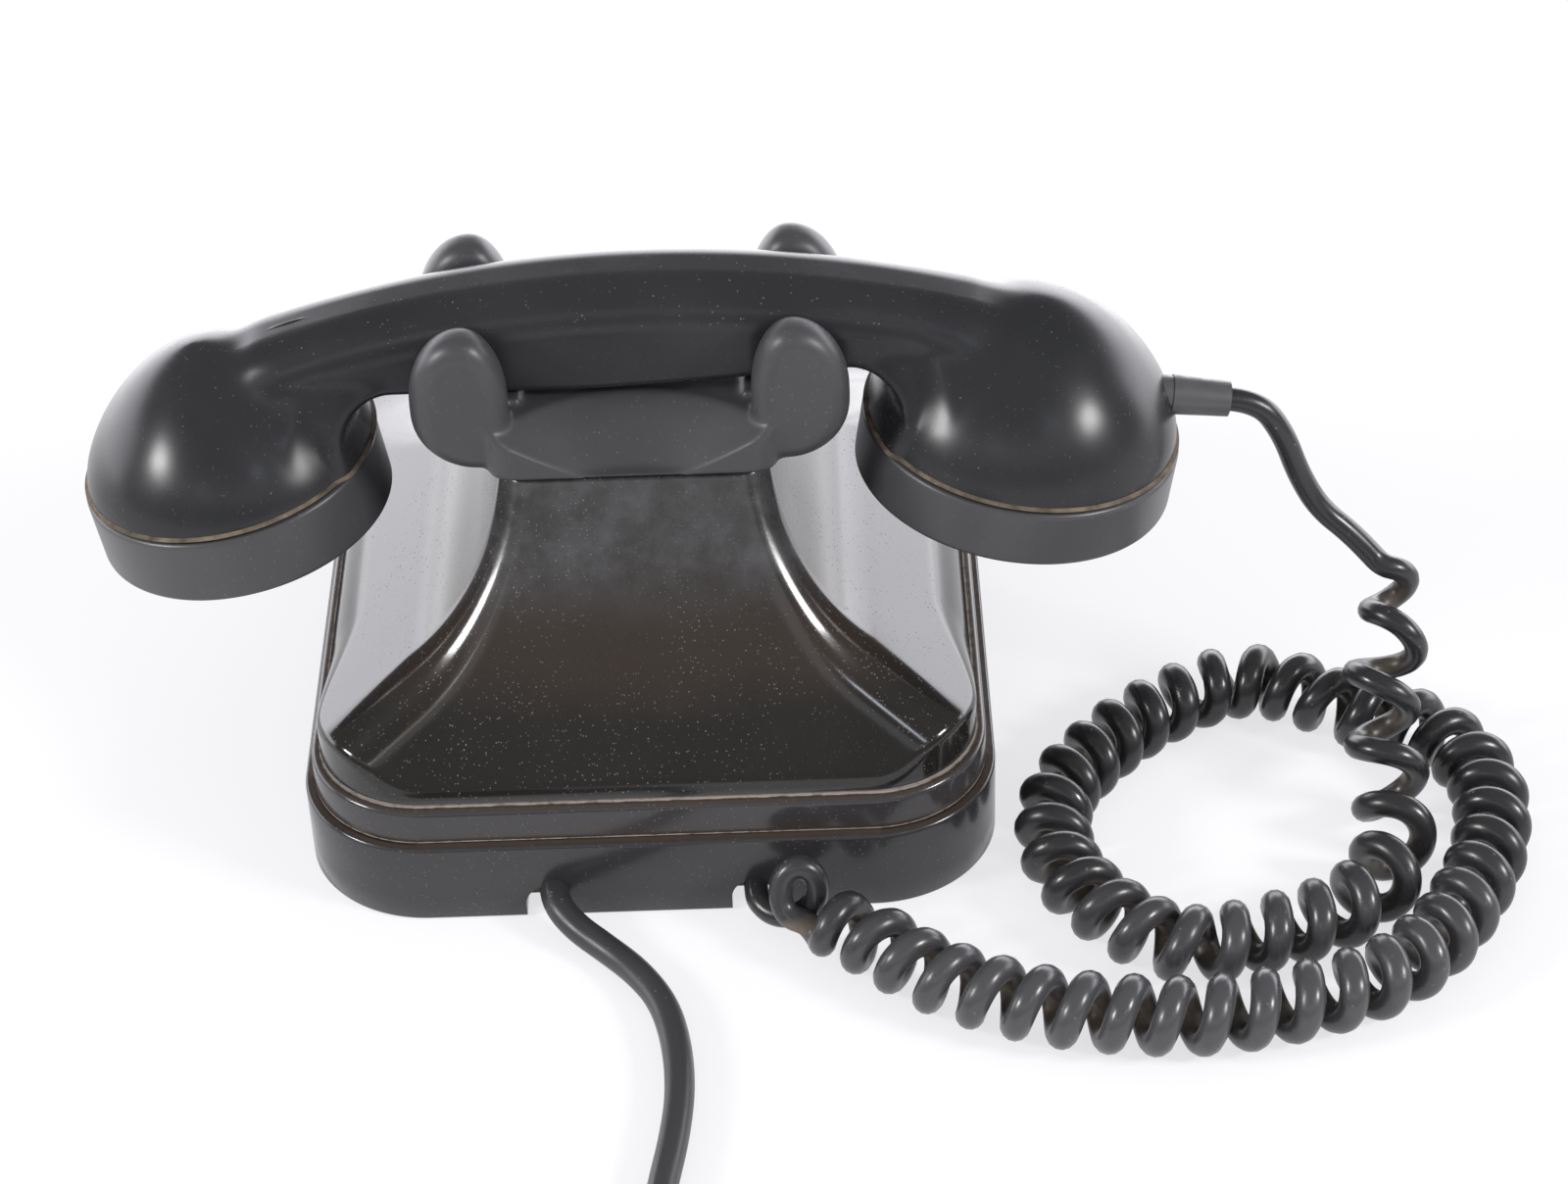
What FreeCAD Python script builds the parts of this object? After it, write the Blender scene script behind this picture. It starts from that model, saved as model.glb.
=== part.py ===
import FreeCAD, Part
import math
import os

V = FreeCAD.Vector
os.makedirs("parts", exist_ok=True)

# Driving dimensions, in millimetres. +Z is up, the dial faces -Y and the cords leave at +Y.
base_width = 150.0
base_depth = 162.2
base_corner = 27.3
base_height = 19.8
base_wall = 4.0
base_floor = 3.0

band_inset = 2.1
band_top = 29.0
groove_depth = 0.8
groove_height = 0.8
body_inset = 4.1
case_wall = 3.2
neck_top = 89.0
neck_half_width = 28.5
neck_rear_y = 44.0
neck_front_y = -4.05
slope_foot_height = 31.0
shoulder_height = 36.0
front_lip_depth = 2.0
front_lip_drop = 3.5
side_flare_radius = 52.2
side_flare_half_width = 64.5
side_flare_height = 44.6
front_flare_radius = 93.0
front_foot_height = 36.1
shoulder_bulge = 1.6
shoulder_rise = 1.1
arris_radius = 7.0
seam_gap = 0.25

screw_inset_x = 18.0
screw_inset_y = 21.1
foot_inset_x = 33.0
foot_inset_y = 26.1
notch_width = 12.0
notch_height = 11.0
line_notch_x = 21.0
handset_notch_x = -21.5

cradle_y = 20.0
cradle_travel = 6.0
saddle_half_width = 30.5
saddle_half_depth = 25.6
saddle_height = 11.0
seat_rise = 1.5
cradle_seam = 0.5
prong_x = 35.4
prong_width = 20.4
prong_thickness = 10.4
prong_gap = 25.4
prong_top = 122.0
prong_crown = 16.0
prong_lean = 1.5
prong_round = 4.4
horn_heel_radius = 13.5
scoop_top_radius = 36.2
scoop_foot_radius = 22.1
scoop_centre_y = 65.2
spigot_half_width = 20.0
spigot_half_depth = 15.0
spigot_depth = 9.0
slide_clearance = 0.4

handle_width = 24.6
handle_height = 23.6
handle_rest_gap = 0.3
handset_x = 2.2
arch_radius = 242.0
bend_radius = 8.0
end_depth = 38.0
ear_end_spread = 10.0
mouth_end_spread = 13.0
ear_end_flare = 0.3
mouth_end_flare = 2.2
mouth_rise = 3.0
rim_hollow = 4.0
arch_shift = -5.7
turn_spread = 47.9
ear_spread = 85.2
mouth_spread = 84.6
ear_rim_z = 81.15
mouth_rim_z = 82.9
cap_tilt = 8.8
ear_cap_radius = 32.1
mouth_cap_radius = 34.3
ear_cap_height = 15.3
mouth_cap_height = 13.3
cap_wall = 3.2
cap_face = 2.6
cap_groove = 0.9
dome_step = 1.0
ear_dome_height = 28.0
mouth_dome_height = 30.5
ear_dome_fullness = 1.5
mouth_dome_fullness = 1.66
capsule_radius = 26.5
capsule_height = 8.0

cord_diameter = 6.2
line_diameter = 6.3
curl_diameter = 17.0
curl_pitch = 9.2
boot_length = 12.4
boot_sink = 1.4
boot_root_diameter = 8.6
boot_tip_diameter = 7.6

dial_tilt = 35.0
dial_centre_y = -41.0
dial_centre_z = 59.0
collar_radius = 40.0
dial_opening = 33.6
bezel_radius = 38.5
bezel_wall = 2.3
bezel_height = 4.2
wheel_radius = 35.0
wheel_thickness = 1.6
finger_hole_radius = 6.5
finger_circle = 25.6
finger_pitch = 27.5
gear_module = 0.8
gear_teeth = 50
pinion_teeth = 10
shaft_radius = 2.5
running_clearance = 0.06
wheel_gap = 0.8

ring_radius = 25.0
gong_spread = 31.0
gong_height = 13.0
gong_wall = 1.6
gong_clearance = 0.7
chassis_thickness = 1.4
chassis_lift = 1.2
chassis_side_room = 25.0
chassis_edge = 1.2
chassis_foot_inset_x = 6.0
chassis_foot_inset_y = 20.5
seat_gap = 0.3
cord_clearance = 0.1


def save(name, shape):
    shape.exportStep("parts/" + name + ".step")
    box = shape.BoundBox
    print("%-22s solids %d valid %s volume %.1f" % (name, len(shape.Solids), shape.isValid(), shape.Volume))
    return box


def rounded_rectangle(half_x, half_y, corner, z, centre_y=0.0):
    """A closed wire of four straight sides and four quarter-circle corners at height z."""
    edges = []
    turn = math.sqrt(0.5)
    corners = [(1, 1), (-1, 1), (-1, -1), (1, -1)]
    ends = []
    for sx, sy in corners:
        cx, cy = sx * (half_x - corner), centre_y + sy * (half_y - corner)
        along_x = V(cx, cy + sy * corner, z)
        along_y = V(cx + sx * corner, cy, z)
        middle = V(cx + sx * corner * turn, cy + sy * corner * turn, z)
        first, last = (along_y, along_x) if sx * sy > 0 else (along_x, along_y)
        ends.append((first, middle, last))
    for number, (first, middle, last) in enumerate(ends):
        edges.append(Part.Arc(first, middle, last).toShape())
        following = ends[(number + 1) % 4][0]
        edges.append(Part.LineSegment(last, following).toShape())
    return Part.Wire(edges)


def slab(half_x, half_y, corner, low, high, centre_y=0.0):
    """A rounded rectangle carried straight up from one height to another."""
    face = Part.Face(rounded_rectangle(half_x, half_y, corner, low, centre_y))
    return face.extrude(V(0, 0, high - low))


def block(x0, x1, y0, y1, z0, z1):
    return Part.makeBox(x1 - x0, y1 - y0, z1 - z0, V(x0, y0, z0))


def mirrored(shape):
    return shape.mirror(V(0, 0, 0), V(1, 0, 0))


def side_profile(inset):
    """The half outline (x, z) of the flare seen from behind: upright lip, round shoulder, concave sweep."""
    foot = base_width / 2 - body_inset - inset
    tangent = V(side_flare_half_width - inset, 0, side_flare_height - inset)
    centre_x = side_flare_half_width + side_flare_radius * 0.303
    centre_z = side_flare_height + side_flare_radius * 0.953
    radius = side_flare_radius + inset
    top_z = neck_top - inset
    top_x = centre_x - math.sqrt(radius ** 2 - (centre_z - top_z) ** 2)
    low_x = tangent.x
    low_z = centre_z - math.sqrt(radius ** 2 - (centre_x - low_x) ** 2)
    mid_angle = (math.atan2(top_z - centre_z, top_x - centre_x) % (2 * math.pi)
                 + math.atan2(low_z - centre_z, low_x - centre_x) % (2 * math.pi)) / 2
    mid = V(centre_x + radius * math.cos(mid_angle), 0, centre_z + radius * math.sin(mid_angle))
    lip = V(foot, 0, shoulder_height - inset)
    round_mid = V(foot - shoulder_bulge, 0, (shoulder_height + low_z) / 2 + shoulder_rise - inset / 2)
    return [lip, round_mid, V(low_x, 0, low_z), mid, V(top_x, 0, top_z)]


def flare_block(inset, low):
    """The flare as a bar running from front to back with the side outline on both flanks."""
    lip, round_mid, low_end, mid, top = side_profile(inset)
    reach = base_depth

    def flank(sign):
        at = lambda p: V(sign * p.x, -reach, p.z)
        return at
    right, left = flank(1), flank(-1)
    foot = V(lip.x, 0, low)
    edges = [
        Part.LineSegment(right(foot), right(lip)).toShape(),
        Part.Arc(right(lip), right(round_mid), right(low_end)).toShape(),
        Part.Arc(right(low_end), right(mid), right(top)).toShape(),
        Part.LineSegment(right(top), left(top)).toShape(),
        Part.Arc(left(top), left(mid), left(low_end)).toShape(),
        Part.Arc(left(low_end), left(round_mid), left(lip)).toShape(),
        Part.LineSegment(left(lip), left(foot)).toShape(),
        Part.LineSegment(left(foot), right(foot)).toShape(),
    ]
    return Part.Face(Part.Wire(edges)).extrude(V(0, 2 * reach, 0))


def front_sweep_centre():
    """Centre (depth, height) of the front sweep's circle, through the neck's front edge and the foot."""
    high = V(-neck_front_y, neck_top, 0)
    low = V(base_depth / 2 - body_inset, front_foot_height, 0)
    chord = low - high
    across = V(-chord.y, chord.x, 0).normalize()
    rise = math.sqrt(front_flare_radius ** 2 - (chord.Length / 2) ** 2)
    centre = (high + low) / 2 + across * rise
    return centre.x, centre.y


def front_height(depth, inset):
    """Height of the concave front sweep at a depth, the distance in front of the middle."""
    centre_depth, centre_z = front_sweep_centre()
    return centre_z - math.sqrt((front_flare_radius + inset) ** 2 - (centre_depth - depth) ** 2)


def front_depth(height, inset):
    """Depth at which the front sweep reaches a height."""
    centre_depth, centre_z = front_sweep_centre()
    return centre_depth - math.sqrt((front_flare_radius + inset) ** 2 - (centre_z - height) ** 2)


def slope_block(inset, low):
    """The flare as a bar running from side to side: flat rear slope, flat top and concave front."""
    reach = base_width
    top_z = neck_top - inset
    lean = (base_depth / 2 - body_inset - neck_rear_y) / (neck_top - slope_foot_height)
    sideways = inset * math.sqrt(1 + lean ** 2)
    rear_top = neck_rear_y + lean * inset - sideways
    half_depth = base_depth / 2 - body_inset - inset
    rear_low_z = neck_top - (half_depth - neck_rear_y + sideways) / lean
    front_top = front_depth(top_z, inset)
    front_low = half_depth - front_lip_depth
    front_lip = shoulder_height - front_lip_drop - inset
    at = lambda y, z: V(-reach, y, z)
    points = [at(half_depth, low), at(half_depth, rear_low_z), at(rear_top, top_z), at(-front_top, top_z)]
    edges = [Part.LineSegment(a, b).toShape() for a, b in zip(points, points[1:])]
    mid_depth = (front_top + front_low) / 2
    low_z = front_height(front_low, inset)
    edges.append(Part.Arc(points[-1], at(-mid_depth, front_height(mid_depth, inset)),
                          at(-front_low, low_z)).toShape())
    edges.append(Part.Arc(at(-front_low, low_z), at(-half_depth + 0.5, (low_z + front_lip) / 2 + 0.4),
                          at(-half_depth, front_lip)).toShape())
    edges.append(Part.LineSegment(at(-half_depth, front_lip), at(-half_depth, low)).toShape())
    edges.append(Part.LineSegment(at(-half_depth, low), points[0]).toShape())
    return Part.Face(Part.Wire(edges)).extrude(V(2 * reach, 0, 0))


def flared_body(inset, low):
    """The upper case: the side sweep, the slopes and the plan outline all at once."""
    half_x = base_width / 2 - body_inset - inset
    half_y = base_depth / 2 - body_inset - inset
    plan = slab(half_x, half_y, base_corner - body_inset - inset, low, neck_top + 5)
    return plan.common(flare_block(inset, low - 1)).common(slope_block(inset, low - 1))


def softened_flare(inset, low, radius):
    """The flared body with its four long arrises rounded, made as one half and its mirror image."""
    body = flared_body(inset, low)
    arrises = []
    for edge in body.Edges:
        start, end = edge.valueAt(edge.FirstParameter), edge.valueAt(edge.LastParameter)
        if abs(start.z - end.z) > 15 and max(start.z, end.z) > neck_top - inset - 1:
            arrises.append(edge)
    half = body.makeFillet(radius, arrises).common(block(-base_width, 0, -base_depth, base_depth, 0, neck_top + 5))
    return half.fuse(mirrored(half))


# The dial's own frame: its centre on the front slope and the direction that its face looks.
lean = math.radians(dial_tilt)
dial_axis = V(0, -math.sin(lean), math.cos(lean))
dial_up = V(0, math.cos(lean), math.sin(lean))
dial_centre = V(0, dial_centre_y, dial_centre_z)


def on_dial(right, up, height):
    """A point by its place on the dial's face, with height measured out of the face."""
    return dial_centre + V(right, 0, 0) + dial_up * up + dial_axis * height


def dial_disc(radius, low, high, right=0.0, up=0.0):
    return Part.makeCylinder(radius, high - low, on_dial(right, up, low), dial_axis)


def dial_ring(outer, inner, low, high):
    return dial_disc(outer, low, high).cut(dial_disc(inner, low - 1, high + 1))


# The plinth: a moulded tray with an upright wall, a floor, and two arched notches at the rear.
screw_x, screw_y = base_width / 2 - screw_inset_x, base_depth / 2 - screw_inset_y
boss_radius = 5.0
screw_radius = 2.0
cord_floor = 0.35


def arch(x, radius, height, y0, y1):
    """An arch-topped tunnel through the rear wall, open at the bottom."""
    half = radius
    points = [V(x - half, y0, -1), V(x - half, y0, height - half), V(x + half, y0, height - half),
              V(x + half, y0, -1)]
    edges = [Part.LineSegment(points[0], points[1]).toShape(),
             Part.Arc(points[1], V(x, y0, height), points[2]).toShape(),
             Part.LineSegment(points[2], points[3]).toShape(),
             Part.LineSegment(points[3], points[0]).toShape()]
    return Part.Face(Part.Wire(edges)).extrude(V(0, y1 - y0, 0))


def corner_points(x, y):
    return [(x, y), (-x, y), (-x, -y), (x, -y)]


tray_top = base_height - seam_gap
tray = slab(base_width / 2, base_depth / 2, base_corner, 0, tray_top)
tray = tray.cut(slab(base_width / 2 - base_wall, base_depth / 2 - base_wall, base_corner - base_wall,
                     base_floor, base_height + 1))
for notch_x in (line_notch_x, handset_notch_x):
    tray = tray.cut(arch(notch_x, notch_width / 2, notch_height, base_depth / 2 - 16, base_depth / 2 + 1))
tray_boss_top = base_height - 0.6
foot_radius, foot_depth = 7.0, 2.0
foot_x, foot_y = base_width / 2 - foot_inset_x, base_depth / 2 - foot_inset_y
for x, y in corner_points(screw_x, screw_y):
    post = Part.makeCylinder(boss_radius + 1, tray_boss_top, V(x, y, 0))
    tray = tray.fuse(post)
for x, y in corner_points(screw_x, screw_y):
    tray = tray.cut(Part.makeCylinder(screw_radius + 0.3, 40, V(x, y, -1)))
    tray = tray.cut(Part.makeCylinder(screw_radius * 2, 3.0, V(x, y, -1)))
for x, y in corner_points(foot_x, foot_y):
    tray = tray.cut(Part.makeCylinder(foot_radius, foot_depth, V(x, y, -0.001)))
save("base_tray", tray)

feet = [Part.makeCylinder(foot_radius - 0.05, foot_depth - 0.05, V(x, y, 0)) for x, y in
        corner_points(foot_x, foot_y)]
save("rubber_feet", Part.makeCompound(feet))

# The case: the stepped band, the dust groove and the concave flare in one hollow moulding.
case_foot = base_height
band_x, band_y = base_width / 2 - band_inset, base_depth / 2 - band_inset
band_corner = base_corner - band_inset
groove_low = band_top - groove_height
case = slab(band_x, band_y, band_corner, case_foot, groove_low)
groove_inset = body_inset + groove_depth
case = case.fuse(slab(base_width / 2 - groove_inset, base_depth / 2 - groove_inset,
                      base_corner - groove_inset, groove_low, band_top))
outer_flare = softened_flare(0, band_top, arris_radius)
case = case.fuse(outer_flare)
collar_depth = 34.0
case = case.fuse(dial_disc(collar_radius, -collar_depth, 0).common(
    block(-60, 60, -base_depth / 2 + body_inset, 30, band_top, 120)))
hollow = flared_body(case_wall, case_foot - 1)
case = case.cut(hollow)
case = case.cut(dial_disc(dial_opening, -collar_depth - 10, 1))
spigot_hole_x, spigot_hole_y = spigot_half_width + slide_clearance, spigot_half_depth + slide_clearance
case = case.cut(block(-spigot_hole_x, spigot_hole_x, cradle_y - spigot_hole_y, cradle_y + spigot_hole_y,
                      neck_top - case_wall - 2, neck_top + 1))
for x, y in corner_points(screw_x, screw_y):
    post = Part.makeCylinder(boss_radius, 30, V(x, y, case_foot)).common(
        flared_body(case_wall / 2, case_foot - 1))
    case = case.fuse(post)
for x, y in corner_points(screw_x, screw_y):
    case = case.cut(Part.makeCylinder(screw_radius - 0.02, 13, V(x, y, case_foot - 1)))
case = case.removeSplitter()
save("case", case)

screws = []
for x, y in corner_points(screw_x, screw_y):
    head = Part.makeCylinder(screw_radius * 1.8, 1.5, V(x, y, 0.5))
    shank = Part.makeCylinder(screw_radius - 0.02, 29.0, V(x, y, 2.0))
    screws.append(head.fuse(shank))
save("case_screws", Part.makeCompound(screws))

# The cradle: a saddle with a finger scoop, four upright horns and a spigot that slides in the neck.
saddle_low = neck_top + cradle_seam
saddle_high = saddle_low + saddle_height


def horn_plate(near_y):
    """A U-shaped plate with two tall horns, as thick as a horn.

    Each horn ends in two quarter ellipses, whose crown leans inwards.
    """
    outer = prong_x + prong_width / 2
    inner = prong_x - prong_width / 2
    heel = outer - horn_heel_radius
    heel_mid = horn_heel_radius * (1 - math.sqrt(0.5))

    def at(x, z):
        return V(x, near_y, z)
    crown_z, tip_x = prong_top - prong_crown, prong_x - prong_lean
    quarters = [Part.ArcOfEllipse(Part.Ellipse(at(tip_x, prong_top), at(x, crown_z), at(tip_x, crown_z)), 0,
                                  math.pi / 2) for x in (outer, inner)]
    outline = [
        Part.LineSegment(at(0, saddle_low), at(heel, saddle_low)),
        Part.Arc(at(heel, saddle_low), at(outer - heel_mid, saddle_low + heel_mid),
                 at(outer, saddle_low + horn_heel_radius)),
        Part.LineSegment(at(outer, saddle_low + horn_heel_radius), at(outer, crown_z)),
        quarters[0],
        quarters[1],
        Part.LineSegment(at(inner, crown_z), at(inner, saddle_high)),
        Part.LineSegment(at(inner, saddle_high), at(0, saddle_high)),
        Part.LineSegment(at(0, saddle_high), at(0, saddle_low)),
    ]
    face = Part.Face(Part.Wire([curve.toShape() for curve in outline]))
    half_plate = face.extrude(V(0, prong_thickness, 0))
    rounded = []
    for edge in half_plate.Edges:
        middle = edge.CenterOfMass
        on_side = abs(middle.y - near_y - prong_thickness / 2) > prong_thickness / 2 - 0.01
        if on_side and middle.x > inner - 0.5 and middle.z > saddle_low + 1:
            rounded.append(edge)
    half_plate = half_plate.makeFillet(prong_round, rounded)
    return half_plate.fuse(mirrored(half_plate))


rear_horn_y = cradle_y + prong_gap / 2
front_horn_y = cradle_y - prong_gap / 2 - prong_thickness
saddle = block(-saddle_half_width, saddle_half_width, cradle_y - saddle_half_depth,
               cradle_y + saddle_half_depth, saddle_low, saddle_high)
upright = [edge for edge in saddle.Edges if abs(edge.tangentAt(edge.FirstParameter).z) > 0.9]
saddle = saddle.makeFillet(5.0, upright)
cradle = saddle.fuse([horn_plate(rear_horn_y), horn_plate(front_horn_y)])
seat_inner = prong_x - prong_width / 2 - 2.0
for low_x, high_x in ((seat_inner, saddle_half_width), (-saddle_half_width, -seat_inner)):
    cradle = cradle.fuse(block(low_x, high_x, cradle_y - prong_gap / 2 - 1, cradle_y + prong_gap / 2 + 1,
                               saddle_high - 1, saddle_high + seat_rise))
for side in (1, -1):
    apex_y = cradle_y + side * (scoop_centre_y - cradle_y)
    scoop = Part.makeCone(scoop_foot_radius, scoop_top_radius, saddle_height, V(0, apex_y, saddle_low))
    cradle = cradle.cut(scoop)
spigot = block(-spigot_half_width, spigot_half_width, cradle_y - spigot_half_depth,
               cradle_y + spigot_half_depth, saddle_low - spigot_depth, saddle_low + 1)
cradle = cradle.fuse(spigot).removeSplitter()
stem_x = 12.0
stem_radius = 2.5
stem_low = 54.0
stem_top = saddle_low - spigot_depth
save("cradle", cradle)
stems = [Part.makeCylinder(stem_radius, stem_top - stem_low, V(x, cradle_y, stem_low)) for x in
         (stem_x, -stem_x)]
save("cradle_stems", Part.makeCompound(stems))

# The handset: an arched grip between two domes, with screw caps that lean inwards.
handset_y = cradle_y
grip_low = saddle_high + seat_rise + handle_rest_gap
grip_top = grip_low + handle_height
arch_centre_z = grip_top - arch_radius


ear, mouth = 1, -1
cap_heights = {ear: ear_cap_height, mouth: mouth_cap_height}
cap_radii = {ear: ear_cap_radius, mouth: mouth_cap_radius}
rim_places = {ear: V(handset_x + ear_spread, handset_y, ear_rim_z),
              mouth: V(handset_x - mouth_spread, handset_y, mouth_rim_z)}


def cap_frame(side):
    """Foot centre of a cap and the direction of its axis, pointing up into the dome."""
    tilt = math.radians(cap_tilt)
    axis = V(side * math.sin(tilt), 0, math.cos(tilt))
    return rim_places[side] - axis * cap_heights[side], axis


def cap_part(side, radius, low, high):
    foot, axis = cap_frame(side)
    return Part.makeCylinder(radius, high - low, foot + axis * low, axis)


def dome(side, height, power):
    """A solid of revolution on a rim, with the outline (r / radius)^power + (h / height)^power = 1."""
    foot, axis = cap_frame(side)
    base = cap_heights[side] + cap_groove
    radius = cap_radii[side] - dome_step
    steps = 6
    outline = []
    for step in range(steps + 1):
        angle = math.pi / 2 * step / steps
        outline.append(V(radius * math.cos(angle) ** (2 / power), 0, height * math.sin(angle) ** (2 / power)))
    outline[-1] = V(0, 0, height)
    curve = Part.BSplineCurve()
    curve.interpolate(Points=outline, InitialTangent=V(0, 0, 1), FinalTangent=V(-1, 0, 0))
    edges = [curve.toShape(), Part.LineSegment(outline[-1], V(0, 0, 0)).toShape(),
             Part.LineSegment(V(0, 0, 0), outline[0]).toShape()]
    solid = Part.Face(Part.Wire(edges)).revolve(V(0, 0, 0), V(0, 0, 1), 360)
    solid = Part.makeSolid(Part.makeShell(solid.Faces)) if not solid.Solids else solid
    turn = FreeCAD.Rotation(V(0, 0, 1), axis)
    solid.Placement = FreeCAD.Placement(foot + axis * base, turn)
    return solid


def grip_section(centre, outward, spread, inner, outer, outer_round, inner_round, hollow=0.0):
    """A handle section in the plane of Y and one outward direction, well rounded outside.

    Its inner side is wider by the spread, and is flat or bows inwards by the hollow, as the rim's circle does.
    """
    half = (handle_width + spread) / 2
    top_half = handle_width / 2
    cut = 1 - math.sqrt(0.5)
    flank = (outer - outer_round - inner - inner_round) * 0.4

    def at(y, out):
        return centre + outward * out + V(0, y, 0)

    def side_curve(side):
        low, high = inner + inner_round, outer - outer_round
        poles = [at(side * half, low), at(side * half, low + flank), at(side * top_half, high - flank),
                 at(side * top_half, high)]
        curve = Part.BezierCurve()
        curve.setPoles(poles if side > 0 else poles[::-1])
        return curve

    if hollow:
        inner_side = Part.Arc(at(-half + inner_round, inner), at(0, inner - hollow), at(half - inner_round, inner))
    else:
        inner_side = Part.LineSegment(at(-half + inner_round, inner), at(half - inner_round, inner))
    edges = [
        inner_side,
        Part.Arc(at(half - inner_round, inner), at(half - inner_round * cut, inner + inner_round * cut),
                 at(half, inner + inner_round)),
        side_curve(1),
        Part.Arc(at(top_half, outer - outer_round), at(top_half - outer_round * cut, outer - outer_round * cut),
                 at(top_half - outer_round, outer)),
        Part.LineSegment(at(top_half - outer_round, outer), at(-top_half + outer_round, outer)),
        Part.Arc(at(-top_half + outer_round, outer), at(-top_half + outer_round * cut, outer - outer_round * cut),
                 at(-top_half, outer - outer_round)),
        side_curve(-1),
        Part.Arc(at(-half, inner + inner_round), at(-half + inner_round * cut, inner + inner_round * cut),
                 at(-half + inner_round, inner)),
    ]
    return Part.Wire([edge.toShape() for edge in edges])


def arch_reach(pivot, outward):
    """How far the arch's circle lies from a point, in one direction."""
    offset = pivot - V(handset_x + arch_shift, handset_y, arch_centre_z)
    along = offset.dot(outward)
    return math.sqrt(along ** 2 + arch_radius ** 2 - offset.Length ** 2) - along


def grip():
    """The handle as one loft: nearly level along its middle, then turned down about a bend to each rim."""
    outer_round, inner_round = handle_width * 0.4, 2.2
    rises = {ear: 0.0, mouth: mouth_rise}
    spreads = {ear: ear_end_spread, mouth: mouth_end_spread}
    flares = {ear: ear_end_flare, mouth: mouth_end_flare}
    sections = []
    for side in (mouth, ear):
        pivot = V(handset_x + side * turn_spread, handset_y, grip_low + rises[side] - bend_radius)
        turned = []
        for degrees in (0, 18, 36, 56, 76, 90 + cap_tilt):
            past = degrees / (90 + cap_tilt)
            angle = math.radians(degrees)
            outward = V(side * math.sin(angle), 0, math.cos(angle))
            hollow = rim_hollow * past ** 1.5
            turned.append(grip_section(pivot, outward, spreads[side] * past ** 1.5, bend_radius + hollow * 0.9,
                                       min(arch_reach(pivot, outward), end_depth), outer_round, inner_round,
                                       hollow))
        rim_foot, axis = cap_frame(side)
        drop = (pivot - rim_foot).dot(axis) - cap_heights[side] - cap_groove / 2
        turned.append(grip_section(pivot - axis * drop, outward, spreads[side] + 1.5,
                                   bend_radius + rim_hollow - flares[side], end_depth, outer_round, inner_round,
                                   rim_hollow + 0.4))
        sections += turned[::-1] if side == mouth else turned
        if side == mouth:
            for part in (0.55, 0.1, -0.35, -0.7):
                x = -turn_spread * part
                foot = V(handset_x + x, handset_y, grip_low + mouth_rise * max(0.0, part + 0.15) / 1.15)
                sections.append(grip_section(foot, V(0, 0, 1), 0, 0, arch_reach(foot, V(0, 0, 1)), outer_round,
                                             inner_round))
    return Part.makeLoft(sections, True, False)


body_parts = [dome(ear, ear_dome_height, ear_dome_fullness), dome(mouth, mouth_dome_height, mouth_dome_fullness)]
handset = grip()
for side in (ear, mouth):
    foot, axis = cap_frame(side)
    below = Part.makeCylinder(3 * cap_radii[side], 80, foot + axis * (cap_heights[side] + cap_groove), V(0, 0, 0) - axis)
    handset = handset.cut(below)
handset = handset.fuse(body_parts)
spigot_radii = {side: cap_radii[side] - cap_wall - 0.3 for side in (ear, mouth)}
cavity_radius = capsule_radius + 0.3
cavity_tops = {side: cap_heights[side] + cap_groove + 1.0 for side in (ear, mouth)}
for side in (ear, mouth):
    handset = handset.fuse(cap_part(side, spigot_radii[side], cap_face + capsule_height * 0.55, cavity_tops[side]))
for side in (ear, mouth):
    handset = handset.cut(cap_part(side, cavity_radius, cap_face - 1, cavity_tops[side]))
boot_axis = V(-12.8, 0, -1.8).normalize()
boot_root = V(handset_x - mouth_spread - cap_radii[mouth] + dome_step + boot_sink, handset_y, 88.13)
boot_bore = Part.makeCylinder(boot_root_diameter / 2 - 0.2, 20, boot_root - boot_axis * 10, boot_axis)
boot_seat = Part.makeCylinder(boot_root_diameter / 2 + 0.2, 20, boot_root - boot_axis * 0.1, boot_axis)
handset = handset.cut([boot_bore, boot_seat])
save("handset_body", handset)


def cap_shell(side, sound_holes):
    """A screw cap: a cup with a flat face, an outer edge just broken and a pattern of sound holes."""
    shell = cap_part(side, cap_radii[side], 0, cap_heights[side])
    foot, axis = cap_frame(side)
    edges = [edge for edge in shell.Edges if edge.Closed]
    shell = shell.makeFillet(1.2, edges)
    shell = shell.cut(cap_part(side, cap_radii[side] - cap_wall, cap_face, cap_heights[side] + 1))
    across = V(0, 1, 0)
    other = axis.cross(across)
    for radius, place, turn in sound_holes:
        angle = math.radians(turn)
        centre = foot + across * (place * math.cos(angle)) + other * (place * math.sin(angle))
        shell = shell.cut(Part.makeCylinder(radius, cap_face + 4, centre - axis * 2, axis))
    return shell


ear_holes = [(1.6, 0, 0)] + [(1.6, 6.5, 60 * n) for n in range(6)]
mouth_holes = [(1.5, 0, 0)] + [(1.5, 5.5, 60 * n) for n in range(6)] + [(1.5, 11, 30 * n) for n in range(12)]
save("ear_cap", cap_shell(ear, ear_holes))
save("mouth_cap", cap_shell(mouth, mouth_holes))
capsule_low = cap_face + 0.1
for side, name in ((ear, "receiver_capsule"), (mouth, "transmitter_capsule")):
    rim = cap_part(side, capsule_radius, capsule_low, capsule_low + capsule_height * 0.45)
    back = cap_part(side, capsule_radius - 3, capsule_low, capsule_low + capsule_height)
    dish = cap_part(side, capsule_radius - 5, capsule_low - 1, capsule_low + 0.8)
    save(name, rim.fuse(back).cut(dish))
contacts = []
contact_low = capsule_low + capsule_height
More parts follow.
